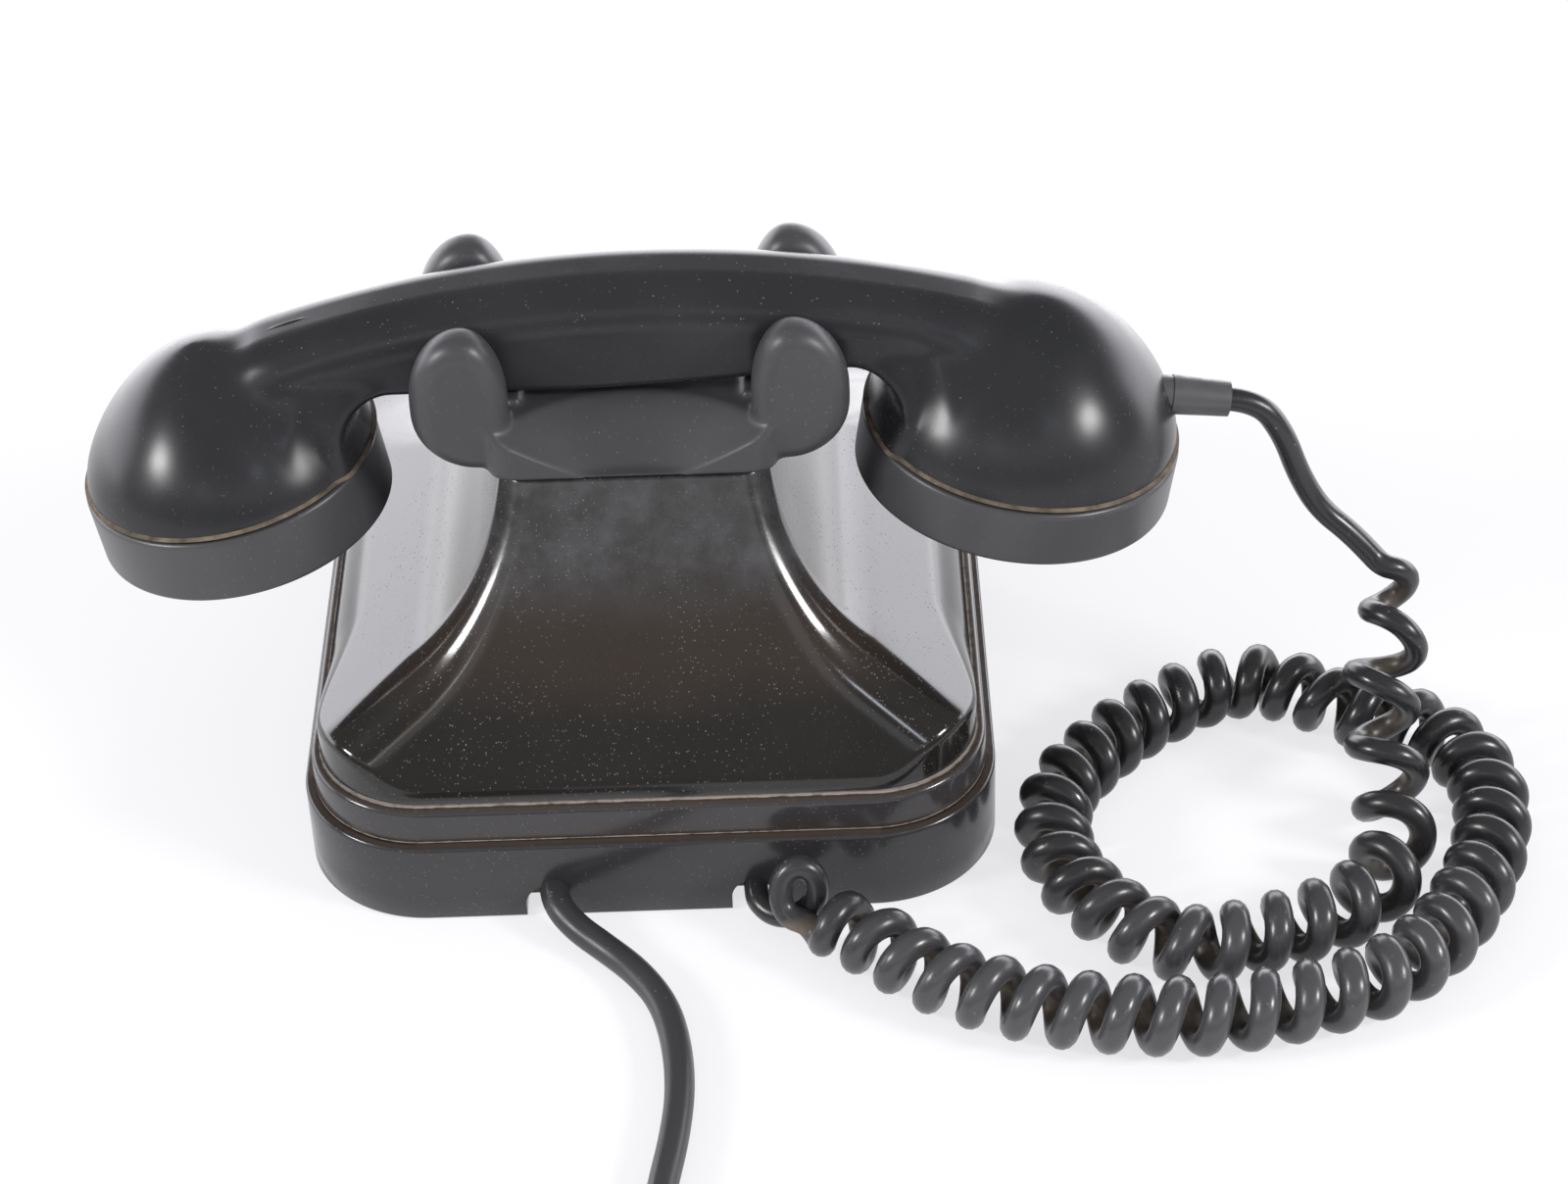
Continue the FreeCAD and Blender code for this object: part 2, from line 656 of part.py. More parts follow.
for side in (ear, mouth):
    foot, axis = cap_frame(side)
    for place in (-8, 8):
        blade = Part.makeBox(3, 12, cavity_tops[side] - contact_low, V(-1.5, place - 6, contact_low))
        blade.Placement = FreeCAD.Placement(foot, FreeCAD.Rotation(V(0, 0, 1), axis)).multiply(blade.Placement)
        contacts.append(blade)
save("capsule_contacts", Part.makeCompound(contacts))

# The dial: a bezel on the collar, a number plate, and a finger wheel on a geared shaft.
plate_radius = dial_opening - 0.4
frame_low, frame_high = -4.0, -2.4
bezel = dial_ring(bezel_radius, bezel_radius - bezel_wall, 0.05, bezel_height)
bezel = bezel.fuse(dial_ring(bezel_radius, dial_opening - 2.0, 0.05, 0.6))
bezel = bezel.makeFillet(1.0, [edge for edge in bezel.Edges if edge.Closed
                               and abs((edge.CenterOfMass - dial_centre).dot(dial_axis) - bezel_height) < 0.01
                               and edge.Length > 2 * math.pi * (bezel_radius - 0.1)])
save("dial_bezel", bezel)
number_plate_low, number_plate_high = 0.65, 1.45
plate_bore = shaft_radius + 1.0
number_plate = dial_ring(bezel_radius - bezel_wall - 0.1, plate_bore, number_plate_low, number_plate_high)
save("number_plate", number_plate)

frame_plate = dial_disc(plate_radius, frame_low, frame_high)
post_circle = 29.5
post_turns = (35, 145, 270)
back_low, back_high = -19.0, -17.6
governor_turn = 205.0
governor_distance = gear_module * (gear_teeth + pinion_teeth) / 2 + 0.15


def polar(radius, turn):
    """Right and up on the dial's face, with the angle counted from the right-hand side."""
    return radius * math.cos(math.radians(turn)), radius * math.sin(math.radians(turn))


governor_right, governor_up = polar(governor_distance, governor_turn)
back_plate = dial_disc(14.0, back_low, back_high)
for turn in post_turns:
    right, up = polar(post_circle, turn)
    arm = Part.makeBox(8, post_circle, back_high - back_low, V(-4, 0, 0))
    face_turn = FreeCAD.Rotation(V(1, 0, 0), dial_up, dial_axis, "ZXY")
    arm.Placement = FreeCAD.Placement(on_dial(0, 0, back_low), face_turn).multiply(
        FreeCAD.Placement(V(0, 0, 0), FreeCAD.Rotation(V(0, 0, 1), turn - 90)))
    back_plate = back_plate.fuse(arm).fuse(dial_disc(4.0, back_low, back_high, right, up))
    frame_plate = frame_plate.fuse(dial_disc(2.2, back_high, frame_low + 0.1, right, up))
    frame_plate = frame_plate.fuse(dial_disc(2.2, frame_high - 0.1, 0.05, right, up))
governor_arm = Part.makeBox(8, governor_distance, back_high - back_low, V(-4, 0, 0))
governor_arm.Placement = FreeCAD.Placement(on_dial(0, 0, back_low), face_turn).multiply(
    FreeCAD.Placement(V(0, 0, 0), FreeCAD.Rotation(V(0, 0, 1), governor_turn - 90)))
back_plate = back_plate.fuse(governor_arm).fuse(dial_disc(4.0, back_low, back_high, governor_right, governor_up))
shaft_bore = shaft_radius + running_clearance
pivot_radius = 1.5
for low, high, solid_name in ((frame_low - 1, frame_high + 1, "frame"), (back_low - 1, back_high + 1, "back")):
    bore = dial_disc(shaft_bore, low, high)
    pivot = dial_disc(pivot_radius + running_clearance, low, high, governor_right, governor_up)
    if solid_name == "frame":
        frame_plate = frame_plate.cut(bore).cut(pivot)
    else:
        back_plate = back_plate.cut(bore).cut(pivot)
save("dial_frame", frame_plate)
save("dial_back_plate", back_plate)

wheel_low = number_plate_high + wheel_gap
wheel_high = wheel_low + wheel_thickness
first_hole = 58.0
hole_turns = [first_hole + finger_pitch * n for n in range(10)]
wheel = dial_disc(wheel_radius, wheel_low, wheel_high)
hub_radius = 11.0
wheel = wheel.fuse(dial_disc(hub_radius, wheel_high - 0.1, wheel_high + 1.8))
for turn in hole_turns:
    right, up = polar(finger_circle, turn)
    wheel = wheel.cut(dial_disc(finger_hole_radius, wheel_low - 1, wheel_high + 1, right, up))
wheel = wheel.cut(dial_disc(shaft_radius, wheel_low - 1, wheel_high + 3))
rims = [edge for edge in wheel.Edges if edge.Closed and edge.Length > 2 * math.pi * (wheel_radius - 0.1)]
wheel = wheel.makeFillet(0.6, rims)
save("finger_wheel", wheel)
shaft_high = wheel_high + 2.4
save("dial_shaft", dial_disc(shaft_radius, back_low - 0.6, wheel_high + 1.9)
     .fuse(dial_disc(hub_radius - 4, wheel_high + 1.9, shaft_high)))

stop_turn = 340.0
stop_low = wheel_high + 0.7
stop_thickness = 1.2
stop_reach = bezel_radius - bezel_wall / 2 - 0.1
stop_bar = Part.makeBox(5.0, stop_reach - finger_circle + 3.0, stop_thickness,
                        V(-2.5, finger_circle - 3.0, 0))
stop_place = FreeCAD.Placement(on_dial(0, 0, stop_low), face_turn).multiply(
    FreeCAD.Placement(V(0, 0, 0), FreeCAD.Rotation(V(0, 0, 1), stop_turn - 90)))
stop_bar.Placement = stop_place
right, up = polar(bezel_radius - 1.4, stop_turn)
stop_foot = dial_disc(1.2, bezel_height, stop_low + stop_thickness, right, up)
finger_stop = stop_bar.fuse(stop_foot)
hook_right, hook_up = polar(finger_circle - 1.0, stop_turn)
finger_stop = finger_stop.fuse(dial_disc(2.5, stop_low, stop_low + stop_thickness + 0.8, hook_right, hook_up))
save("finger_stop", finger_stop)


def gear(teeth, low, high, right, up, phase, bore):
    """A spur gear with straight-flanked teeth, slim enough to run with backlash."""
    pitch_radius = gear_module * teeth / 2
    tip, root = pitch_radius + 0.6 * gear_module, pitch_radius - 0.95 * gear_module
    tooth_angle = 360.0 / teeth
    points = []
    for tooth in range(teeth):
        middle = phase + tooth * tooth_angle
        root_half = math.degrees(0.36 * gear_module * math.pi / 2 * 1.25 / root)
        tip_half = math.degrees(0.36 * gear_module * math.pi / 2 * 0.62 / tip)
        for radius, turn in ((root, middle - root_half), (tip, middle - tip_half),
                             (tip, middle + tip_half), (root, middle + root_half)):
            x, y = polar(radius, turn)
            points.append(on_dial(right + x, up + y, low))
    outline = Part.makePolygon(points + [points[0]])
    solid = Part.Face(outline).extrude(dial_axis * (high - low))
    return solid.cut(dial_disc(bore, low - 1, high + 1, right, up))


gear_low, gear_high = -8.0, -6.4
main_gear = gear(gear_teeth, gear_low, gear_high, 0, 0, governor_turn, shaft_radius)
save("dial_gear", main_gear)
spring_drum = dial_ring(9.0, shaft_radius, -12.5, gear_low - 0.2)
save("dial_spring", spring_drum)
pinion_phase = governor_turn + 180 + 180.0 / pinion_teeth
pinion = gear(pinion_teeth, gear_low - 0.6, gear_high + 0.6, governor_right, governor_up, pinion_phase, 0.5)
spindle = dial_disc(pivot_radius, back_low - 0.4, frame_high + 0.4, governor_right, governor_up)
governor = pinion.fuse(spindle)
drum_radius = 7.6
governor = governor.fuse(dial_disc(drum_radius, -15.6, -14.6, governor_right, governor_up))
for sign in (1, -1):
    weight_right, weight_up = polar(4.6, governor_turn + 90 * sign)
    governor = governor.fuse(dial_disc(2.0, -14.7, -11.0, governor_right + weight_right,
                                       governor_up + weight_up))
save("governor", governor)

# Inside the base: chassis plate, bells, coils, condenser, terminals and the hook switch.
clamp_face_y = base_depth / 2 - base_wall - cord_clearance
clamp_width, clamp_length, clamp_top = 20.0, 7.0, 13.0
terminal_half_width, terminal_half_depth, terminal_height = 30.0, 4.0, 8.0
terminal_y = clamp_face_y - clamp_length - terminal_half_depth - seat_gap
gong_y = terminal_y - terminal_half_depth - ring_radius - gong_clearance
chassis_low = base_floor + chassis_lift
chassis_high = chassis_low + chassis_thickness
chassis_half_x, chassis_half_y = base_width / 2 - chassis_side_room, terminal_y - chassis_edge
chassis = slab(chassis_half_x, chassis_half_y, 8.0, chassis_low, chassis_high)
for x, y in corner_points(chassis_half_x - chassis_foot_inset_x, chassis_half_y - chassis_foot_inset_y):
    chassis = chassis.fuse(Part.makeCylinder(3.0, chassis_low - base_floor, V(x, y, base_floor)))
save("chassis", chassis)
bell_axis_z = 15.0
gong_low = chassis_high + 3.4
post_radius = 2.4
gong_posts = []
for sign, name in ((1, "gong_left"), (-1, "gong_right")):
    centre = V(sign * gong_spread, gong_y, gong_low)
    curve_radius = (ring_radius ** 2 + gong_height ** 2) / (2 * gong_height)
    ball = Part.makeSphere(curve_radius, V(centre.x, centre.y, gong_low + gong_height - curve_radius))
    bowl = ball.common(Part.makeCylinder(ring_radius, gong_height, centre))
    inner = Part.makeSphere(curve_radius - gong_wall,
                            V(centre.x, centre.y, gong_low + gong_height - curve_radius))
    bowl = bowl.cut(inner).cut(Part.makeCylinder(post_radius - 0.4, 40, centre))
    save(name, bowl)
    post = Part.makeCylinder(post_radius, gong_height - gong_wall + 3.4, V(centre.x, centre.y, chassis_high))
    tip = Part.makeCylinder(post_radius - 0.45, gong_wall + 1.0,
                            V(centre.x, centre.y, gong_low + gong_height - gong_wall - 0.2))
    gong_posts.append(post.fuse(tip).cut(bowl))
    nut = Part.makeCylinder(3.6, 1.8, V(centre.x, centre.y, gong_low + gong_height + 0.2))
    gong_posts[-1] = gong_posts[-1].fuse(nut.cut(bowl))
save("gong_posts", Part.makeCompound(gong_posts))

coil_spread, coil_radius, coil_length = 13.0, 8.0, 20.0
armature_reach = 24.0
pivot_y = gong_y - armature_reach
coil_rear = pivot_y - 8.0
coil_front = coil_rear - coil_length
core_radius = 3.0
yoke_y = coil_front - 2.4
ringer_frame = block(-24, 24, yoke_y, coil_front, chassis_high, bell_axis_z + coil_radius)
ringer_frame = ringer_frame.fuse(block(-6, 6, yoke_y, coil_rear + 10.0, chassis_high, chassis_high + 1.6))
ringer_frame = ringer_frame.fuse(Part.makeCylinder(2.4, bell_axis_z - chassis_high - 4.4,
                                                   V(0, pivot_y, chassis_high)))
for sign in (1, -1):
    core = Part.makeCylinder(core_radius, coil_rear - coil_front + 1.5,
                             V(sign * coil_spread, coil_front - 0.5, bell_axis_z), V(0, 1, 0))
    ringer_frame = ringer_frame.fuse(core)
pin_radius = 1.2
ringer_frame = ringer_frame.fuse(Part.makeCylinder(pin_radius, 9.0, V(0, pivot_y, bell_axis_z - 4.6)))
save("ringer_frame", ringer_frame)
coils = []
for sign in (1, -1):
    spool = Part.makeCylinder(coil_radius, coil_rear - coil_front - 0.4,
                              V(sign * coil_spread, coil_front + 0.2, bell_axis_z), V(0, 1, 0))
    coils.append(spool.cut(Part.makeCylinder(core_radius + 0.05, 40, V(sign * coil_spread, coil_front - 5,
                                                                       bell_axis_z), V(0, 1, 0))))
save("ringer_coils", Part.makeCompound(coils))
hammer_radius = 2.6
armature = block(-20, 20, pivot_y - 1.6, pivot_y + 1.6, bell_axis_z - 3.6, bell_axis_z + 3.6)
armature = armature.fuse(Part.makeCylinder(3.0, 7.2, V(0, pivot_y, bell_axis_z - 3.6)))
armature = armature.cut(Part.makeCylinder(pin_radius + running_clearance, 30, V(0, pivot_y, 0)))
rod = Part.makeCylinder(0.9, gong_y - pivot_y - 2.0, V(0, pivot_y + 1.5, bell_axis_z), V(0, 1, 0))
hammer = Part.makeSphere(hammer_radius, V(0, gong_y, bell_axis_z))
save("clapper", armature.fuse(rod).fuse(hammer))
condenser_half_x, condenser_half_y, condenser_height = 9.0, 22.0, 17.0
condenser_place = V(condenser_half_x + 1.0 - chassis_half_x, condenser_half_y + 0.5 - chassis_half_y, 0)
condenser = slab(condenser_half_x, condenser_half_y, 2.0, chassis_high, chassis_high + condenser_height)
save("condenser", condenser.translated(condenser_place))
winding_radius, winding_length, cheek_half, cheek_thickness = 8.5, 40.0, 9.4, 2.0
winding_x = chassis_half_x - cheek_half - 2.6
winding_front = cheek_thickness + 2.5 - chassis_half_y
winding_z = chassis_high + cheek_half + 0.2
induction = Part.makeCylinder(winding_radius, winding_length, V(winding_x, winding_front, winding_z), V(0, 1, 0))
cheeks = [block(winding_x - cheek_half, winding_x + cheek_half, y, y + cheek_thickness, chassis_high,
                winding_z + cheek_half) for y in (winding_front - cheek_thickness, winding_front + winding_length)]
save("induction_coil", induction.fuse(cheeks))
strip_front, strip_top = terminal_y - terminal_half_depth, base_floor + terminal_height
strip = block(-terminal_half_width, terminal_half_width, strip_front, terminal_y + terminal_half_depth,
              base_floor, strip_top)
strip = strip.cut(block(-terminal_half_width - 1, terminal_half_width + 1, strip_front - 1,
                        chassis_half_y + 0.7, base_floor - 1, chassis_high + 0.6))
save("terminal_block", strip)
terminal_pitch = terminal_half_width / 3
pins = [Part.makeCylinder(1.8, 2.0, V(terminal_pitch * (number - 2.5), terminal_y + 1, strip_top))
        for number in range(6)]
save("terminal_screws", Part.makeCompound(pins))

# The hook switch: a bracket that guides the cradle's stems, a lever under them and a contact stack.
bracket_x, sheet = 24.0, 1.6
guide_low, guide_high = 60.4, 62.0
lever_pivot_y, lever_pivot_z = -2.0, 50.0
shelf_low = 34.4
leg_front, leg_rear, shelf_front = lever_pivot_y - 6.0, lever_pivot_y + 6.0, lever_pivot_y - 12.0
bracket = block(-bracket_x, bracket_x, leg_front, cradle_y + 14.0, guide_low, guide_high)
for sign in (1, -1):
    inner_x, outer_x = sorted((sign * (bracket_x - sheet), sign * bracket_x))
    bracket = bracket.fuse(block(inner_x, outer_x, leg_front, leg_rear, chassis_high, guide_high))
bracket = bracket.fuse(block(-bracket_x, bracket_x, shelf_front, leg_rear, shelf_low, shelf_low + sheet))
for x in (stem_x, -stem_x):
    bracket = bracket.cut(Part.makeCylinder(stem_radius + running_clearance, 10, V(x, cradle_y, guide_low - 2)))
lever_pin_radius = 1.5
bracket = bracket.fuse(Part.makeCylinder(lever_pin_radius, 2 * (bracket_x - sheet / 2),
                                         V(-bracket_x + sheet / 2, lever_pivot_y, lever_pivot_z), V(1, 0, 0)))
save("hook_bracket", bracket)
lever_top = stem_low - 0.3
lever_half, lever_sheet = stem_x + 4.0, 1.5
hub_half = bracket_x - 4.0
lever = block(-lever_half, lever_half, lever_pivot_y, cradle_y + 3.0, lever_top - lever_sheet, lever_top)
lever = lever.fuse(Part.makeCylinder(2 * lever_pin_radius, 2 * hub_half,
                                     V(-hub_half, lever_pivot_y, lever_pivot_z), V(1, 0, 0)))
lever = lever.fuse(block(-lever_half, lever_half, lever_pivot_y - 1.0, lever_pivot_y + 1.0, lever_pivot_z, lever_top))
lever = lever.fuse(block(-4, 4, lever_pivot_y - 5.6, lever_pivot_y, lever_pivot_z, lever_pivot_z + lever_sheet))
lever = lever.cut(Part.makeCylinder(lever_pin_radius + running_clearance, 50,
                                    V(-25, lever_pivot_y, lever_pivot_z), V(1, 0, 0)))
save("hook_lever", lever)
stack_low = shelf_low + sheet
stack_height, stack_front, blade_sheet = 5.0, shelf_front + 0.4, 0.4
stack = block(-5, 5, stack_front, stack_front + 6.0, stack_low, stack_low + stack_height)
save("contact_block", stack)
blades = [block(-3.5, 3.5, y, y + blade_sheet, stack_low + stack_height, stack_low + length)
          for y, length in ((stack_front + 1.0, 17.0), (stack_front + 2.8, 18.5), (stack_front + 4.6, 20.0))]
save("contact_blades", Part.makeCompound(blades))
spring_radius = stem_radius + 1.6
spring_rings = []
for x in (stem_x, -stem_x):
    sleeve = Part.makeCylinder(spring_radius, stem_top - guide_high, V(x, cradle_y, guide_high))
    spring_rings.append(sleeve.cut(Part.makeCylinder(spring_radius - 0.9, 60, V(x, cradle_y, guide_high - 5))))
save("cradle_springs", Part.makeCompound(spring_rings))

# The cord clamps: a block behind each notch, seated on the plinth's floor, that grips a cord's end.
clamps = []
for notch_x in (line_notch_x, handset_notch_x):
    clamp = block(notch_x - clamp_width / 2, notch_x + clamp_width / 2, clamp_face_y - clamp_length,
                  clamp_face_y, base_floor, clamp_top)
    clamps.append(clamp)
save("cord_clamps", Part.makeCompound(clamps))

# The cords: plain leads as straight runs joined by tangent arcs, and coils wound by formula.
least_radii = []


def arc_between(start, corner, end):
    """The arc that leaves start towards corner and arrives at end from corner, both as far away."""
    chord = (start + end) * 0.5
    reach = (corner - start).Length
    half_chord = (end - start).Length / 2
    if (corner - chord).Length < 1e-4 * reach:
        return Part.LineSegment(start, end)
    half_turn = math.acos(min(1.0, half_chord / reach))
    radius = half_chord / math.sin(half_turn)
    rise = radius * (1 - math.cos(half_turn))
    return Part.Arc(start, chord + (corner - chord).normalize() * rise, end)


def cord_path(points, name):
    """Straight runs joined by arcs, each as large as its two runs allow."""
    edges = []
    last = points[0]
    radii = []
    for before, corner, after in zip(points, points[1:], points[2:]):
        into, out = corner - before, after - corner
        turn = into.getAngle(out)
        reach = 0.45 * min(into.Length, out.Length)
        radii.append(reach / math.tan(turn / 2))
        start = corner - V(into).normalize() * reach
        end = corner + V(out).normalize() * reach
        edges.append(Part.LineSegment(last, start).toShape())
        edges.append(arc_between(start, corner, end).toShape())
        last = end
    edges.append(Part.LineSegment(last, points[-1]).toShape())
    least_radii.append((name, min(radii)))
    print("%-22s least bend radius %.1f" % (name, min(radii)))
    return Part.Wire(edges)


def swept_tube(path, radius, start, direction, sides=0):
    if sides:
        along = V(direction).normalize()
        across = along.cross(V(0, 0, 1)).normalize()
        other = along.cross(across)
        ring = [start + across * (radius * math.cos(2 * math.pi * k / sides))
                + other * (radius * math.sin(2 * math.pi * k / sides)) for k in range(sides)]
        profile = Part.makePolygon(ring + [ring[0]])
    else:
        profile = Part.Wire(Part.makeCircle(radius, start, direction))
    shell = Part.BRepOffsetAPI.MakePipeShell(path)
    shell.add(profile)
    shell.build()
    shell.makeSolid()
    return shell.shape()


def plain_cord(points, diameter, name):
    path = cord_path(points, name)
    solid = swept_tube(path, diameter / 2, points[0], points[1] - points[0])
    expected = math.pi * diameter ** 2 / 4 * path.Length
    print("%-22s length %.1f, volume against section times length %.4f" % (name, path.Length,
                                                                         solid.Volume / expected))
    return solid


def biarc_path(places, headings):
    """Two arcs between each place and the next, matching the heading at both."""
    edges = []
    for start, end, go, come in zip(places, places[1:], headings, headings[1:]):
        gap = end - start
        both = go + come
        a = 2 * (1 - go.dot(come))
        b = 2 * gap.dot(both)
        c = -gap.dot(gap)
        reach = -c / b if abs(a) < 1e-9 else (-b + math.sqrt(b * b - 4 * a * c)) / (2 * a)
        near, far = start + go * reach, end - come * reach
        middle = (near + far) * 0.5
        edges.append(arc_between(start, near, middle).toShape())
        edges.append(arc_between(middle, far, end).toShape())
    return Part.Wire(edges)


boot_tip = boot_root + boot_axis * boot_length
boot = Part.makeCone(boot_root_diameter / 2, boot_tip_diameter / 2, boot_length, boot_root, boot_axis)
boot = boot.fuse(Part.makeCylinder(boot_root_diameter / 2 - 0.25, 3.0, boot_root - boot_axis * 2.9, boot_axis))
boot = boot.cut(handset)
save("handset_boot", boot)

lead_points = [boot_tip, boot_tip + boot_axis * 6.6, V(-138.6, 21.0, 77.6), V(-142.2, 22.0, 67.5),
               V(-147.0, 23.3, 59.0), V(-154.0, 25.0, 53.2), V(-160.2, 27.0, 46.5)]
save("cord_lead", plain_cord(lead_points, cord_diameter, "cord_lead"))

lie = curl_diameter / 2 + 0.1
notch_z = cord_diameter / 2 + cord_floor + 3.0
curl_points = [
    V(-160.2, 27.0, 46.5), V(-163.9, 28.2, 42.5), V(-164.6, 32.4, 36.2), V(-160.8, 40.0, 31.0),
    V(-158.6, 49.0, 24.6), V(-159.5, 58.0, 16.5), V(-160.2, 68.0, 10.0), V(-158.8, 80.0, lie),
    V(-152.5, 92.0, lie), V(-141.0, 99.3, lie), V(-128.0, 103.5, lie), V(-115.0, 107.0, lie),
    V(-103.5, 102.5, lie), V(-94.5, 92.5, lie), V(-88.0, 82.0, lie), V(-86.2, 69.0, lie),
    V(-88.5, 56.0, lie), V(-96.5, 45.0, lie), V(-105.5, 35.0, lie), V(-117.5, 26.0, lie),
    V(-131.0, 19.2, lie), V(-144.0, 22.5, lie), V(-154.5, 31.5, lie), V(-166.0, 35.0, lie),
    V(-176.0, 43.5, lie), V(-182.0, 56.0, lie), V(-181.5, 70.0, lie), V(-178.0, 83.0, lie),
    V(-172.0, 95.0, lie), V(-165.0, 106.0, lie), V(-154.0, 116.5, lie), V(-140.5, 122.0, lie),
    V(-127.0, 125.4, lie), V(-113.0, 127.3, lie), V(-99.0, 126.2, lie), V(-85.5, 124.0, lie),
    V(-72.0, 121.5, lie), V(-59.5, 115.5, lie), V(-51.0, 109.0, 9.4), V(-43.0, 103.0, 11.5),
    V(-34.5, 98.5, 12.0), V(-27.0, 95.0, 10.0), V(-22.5, 90.0, 7.4), V(handset_notch_x, 84.5, notch_z),
    V(handset_notch_x, clamp_face_y, notch_z)]


def even_places(points, count):
    """Evenly spaced places and headings along the smooth quadratic curve of a list of points."""
    curve = Part.BSplineCurve()
    curve.buildFromPoles(points, False, 2)
    edge = curve.toShape()
    places = edge.discretize(Number=count)
    params = [curve.parameter(place) for place in places]
    return edge.Length, places, [curve.tangent(param)[0] for param in params]


def wound_cord(points, wire_diameter, outer_diameter, pitch, last_straight, name):
    """A helix about a smooth route, whose radius grows from nothing at either end.

    The winding's two side directions are carried along the route without twisting. Place and
    heading are worked out at each quarter turn, and two arcs join each pair."""
    samples = 3001
    length, places, headings = even_places(points, samples)
    sides = []
    across = headings[0].cross(V(0, 0, 1)).normalize()
    for heading in headings:
        across = (across - heading * across.dot(heading)).normalize()
        sides.append(across)
    straight = wire_diameter
    winding = length - straight - last_straight
    radius = (outer_diameter - wire_diameter) / 2
    grow = 2.2 * pitch
    slow = 0.5
    turns = round((winding - slow * grow) / pitch)
    whole_angle = 2 * math.pi * turns
    rate = whole_angle / (winding - slow * grow)

    def swell_at(along):
        part = max(0.0, min(along, winding - along) / grow)
        return 1.0 if part >= 1 else part * part * (3 - 2 * part)

    def angle_at(along):
        """The winding turns more slowly where its radius is small, so that no curl is too tight."""
        part = min(along, winding - along) / grow
        held = grow * slow / 2
        if part < 1:
            held = grow * slow * (part - part ** 3 + part ** 4 / 2)
        turned = rate * (min(along, winding - along) - held)
        return turned if along < winding / 2 else whole_angle - turned

    def wound(distance):
        position = distance / length * (samples - 1)
        index = min(int(position), samples - 2)
        part = position - index
        centre = places[index] * (1 - part) + places[index + 1] * part
        heading = headings[index] * (1 - part) + headings[index + 1] * part
        side = sides[index] * (1 - part) + sides[index + 1] * part
        other = heading.cross(side)
        along = distance - straight
        if along <= 0 or along >= winding:
            return centre
        angle = angle_at(along)
        return centre + (side * math.cos(angle) + other * math.sin(angle)) * (radius * swell_at(along))

    def heading_at(distance):
        small = 0.02
        return (wound(min(distance + small, length)) - wound(max(distance - small, 0))).normalize()
    steps = [0.0] + [straight + winding * k / (4 * turns) for k in range(4 * turns + 1)] + [length]
    nodes = [wound(step) for step in steps]
    path = biarc_path(nodes, [heading_at(step) for step in steps])
    check = [wound(length * k / (14 * turns)) for k in range(14 * turns + 1)]
    run = [0.0]
    for before, after in zip(check, check[1:]):
        run.append(run[-1] + (after - before).Length)
    gap, nearest = min(((check[first] - check[second]).Length, first)
                       for first in range(len(check)) for second in range(first + 1, len(check))
                       if run[second] - run[first] > 2.5 * wire_diameter)
    where = check[nearest]
    print("%-22s %d curls on %.1f of route, %.1f of cord, least gap to itself %.2f near %.0f, %.0f, %.0f" % (
        name, turns, length, path.Length, gap - wire_diameter, where.x, where.y, where.z))
    bends = [(edge.Curve.Radius, edge.CenterOfMass) for edge in path.Edges if hasattr(edge.Curve, "Radius")]
    tight, spot = min(bends, key=lambda bend: bend[0])
    print("%-22s tightest radius %.2f near %.0f, %.0f, %.0f" % (name, tight, spot.x, spot.y, spot.z))
    return swept_tube(path, wire_diameter / 2, nodes[0], heading_at(0.0), curl_sides)


curl_sides = 6
save("curly_cord", wound_cord(curl_points, cord_diameter, curl_diameter, curl_pitch, 19.0, "curly_cord"))

# The line cord: it leaves the left-hand notch, runs to the rear and ends in a put-away coil and a plug.
line_lie = line_diameter / 2 + 0.05
line_exit_z = 7.2
coil_turns = 3.25
coil_outer = 44.0
coil_step = line_diameter + 0.75
coil_layer = line_diameter + 0.6
climb_tuck = 1.2
coil_centre = V(44.0, 226.0, line_lie)
coil_entry = V(coil_centre.x - coil_outer, coil_centre.y - 10.0, line_lie)
line_points = [V(line_notch_x, clamp_face_y, line_exit_z), V(line_notch_x, 84.0, line_exit_z),
               V(16.4, 90.0, line_lie + 1.6), V(9.6, 95.5, line_lie), V(2.8, 103.0, line_lie),
               V(-2.8, 112.5, line_lie), V(-5.6, 125.0, line_lie), V(-6.4, 138.5, line_lie),
               V(-5.2, 151.5, line_lie), V(-3.0, 164.0, line_lie), V(-1.2, 177.0, line_lie),
               V(-0.2, 190.0, line_lie), V(coil_entry.x, 203.0, line_lie), coil_entry]
save("line_cord", plain_cord(line_points, line_diameter, "line_cord"))
spiral_turn = 2 * math.pi * coil_turns
whole_turn = 2 * spiral_turn + math.pi


def coil_place(turned):
    """Spiral in over the lower layer, climb in half a turn, and spiral out over the upper layer."""
    if turned <= spiral_turn:
        reach, layer = coil_outer - coil_step * turned / (2 * math.pi), 0.0
    elif turned <= spiral_turn + math.pi:
        part = (turned - spiral_turn) / math.pi
        reach, layer = coil_outer - coil_step * coil_turns, part * part * (3 - 2 * part)
        reach -= climb_tuck * math.sin(math.pi * part)
    else:
        reach = coil_outer - coil_step * (whole_turn - turned) / (2 * math.pi)
        layer = 1.0
    angle = math.pi - turned
    return coil_centre + V(reach * math.cos(angle), reach * math.sin(angle), layer * coil_layer)


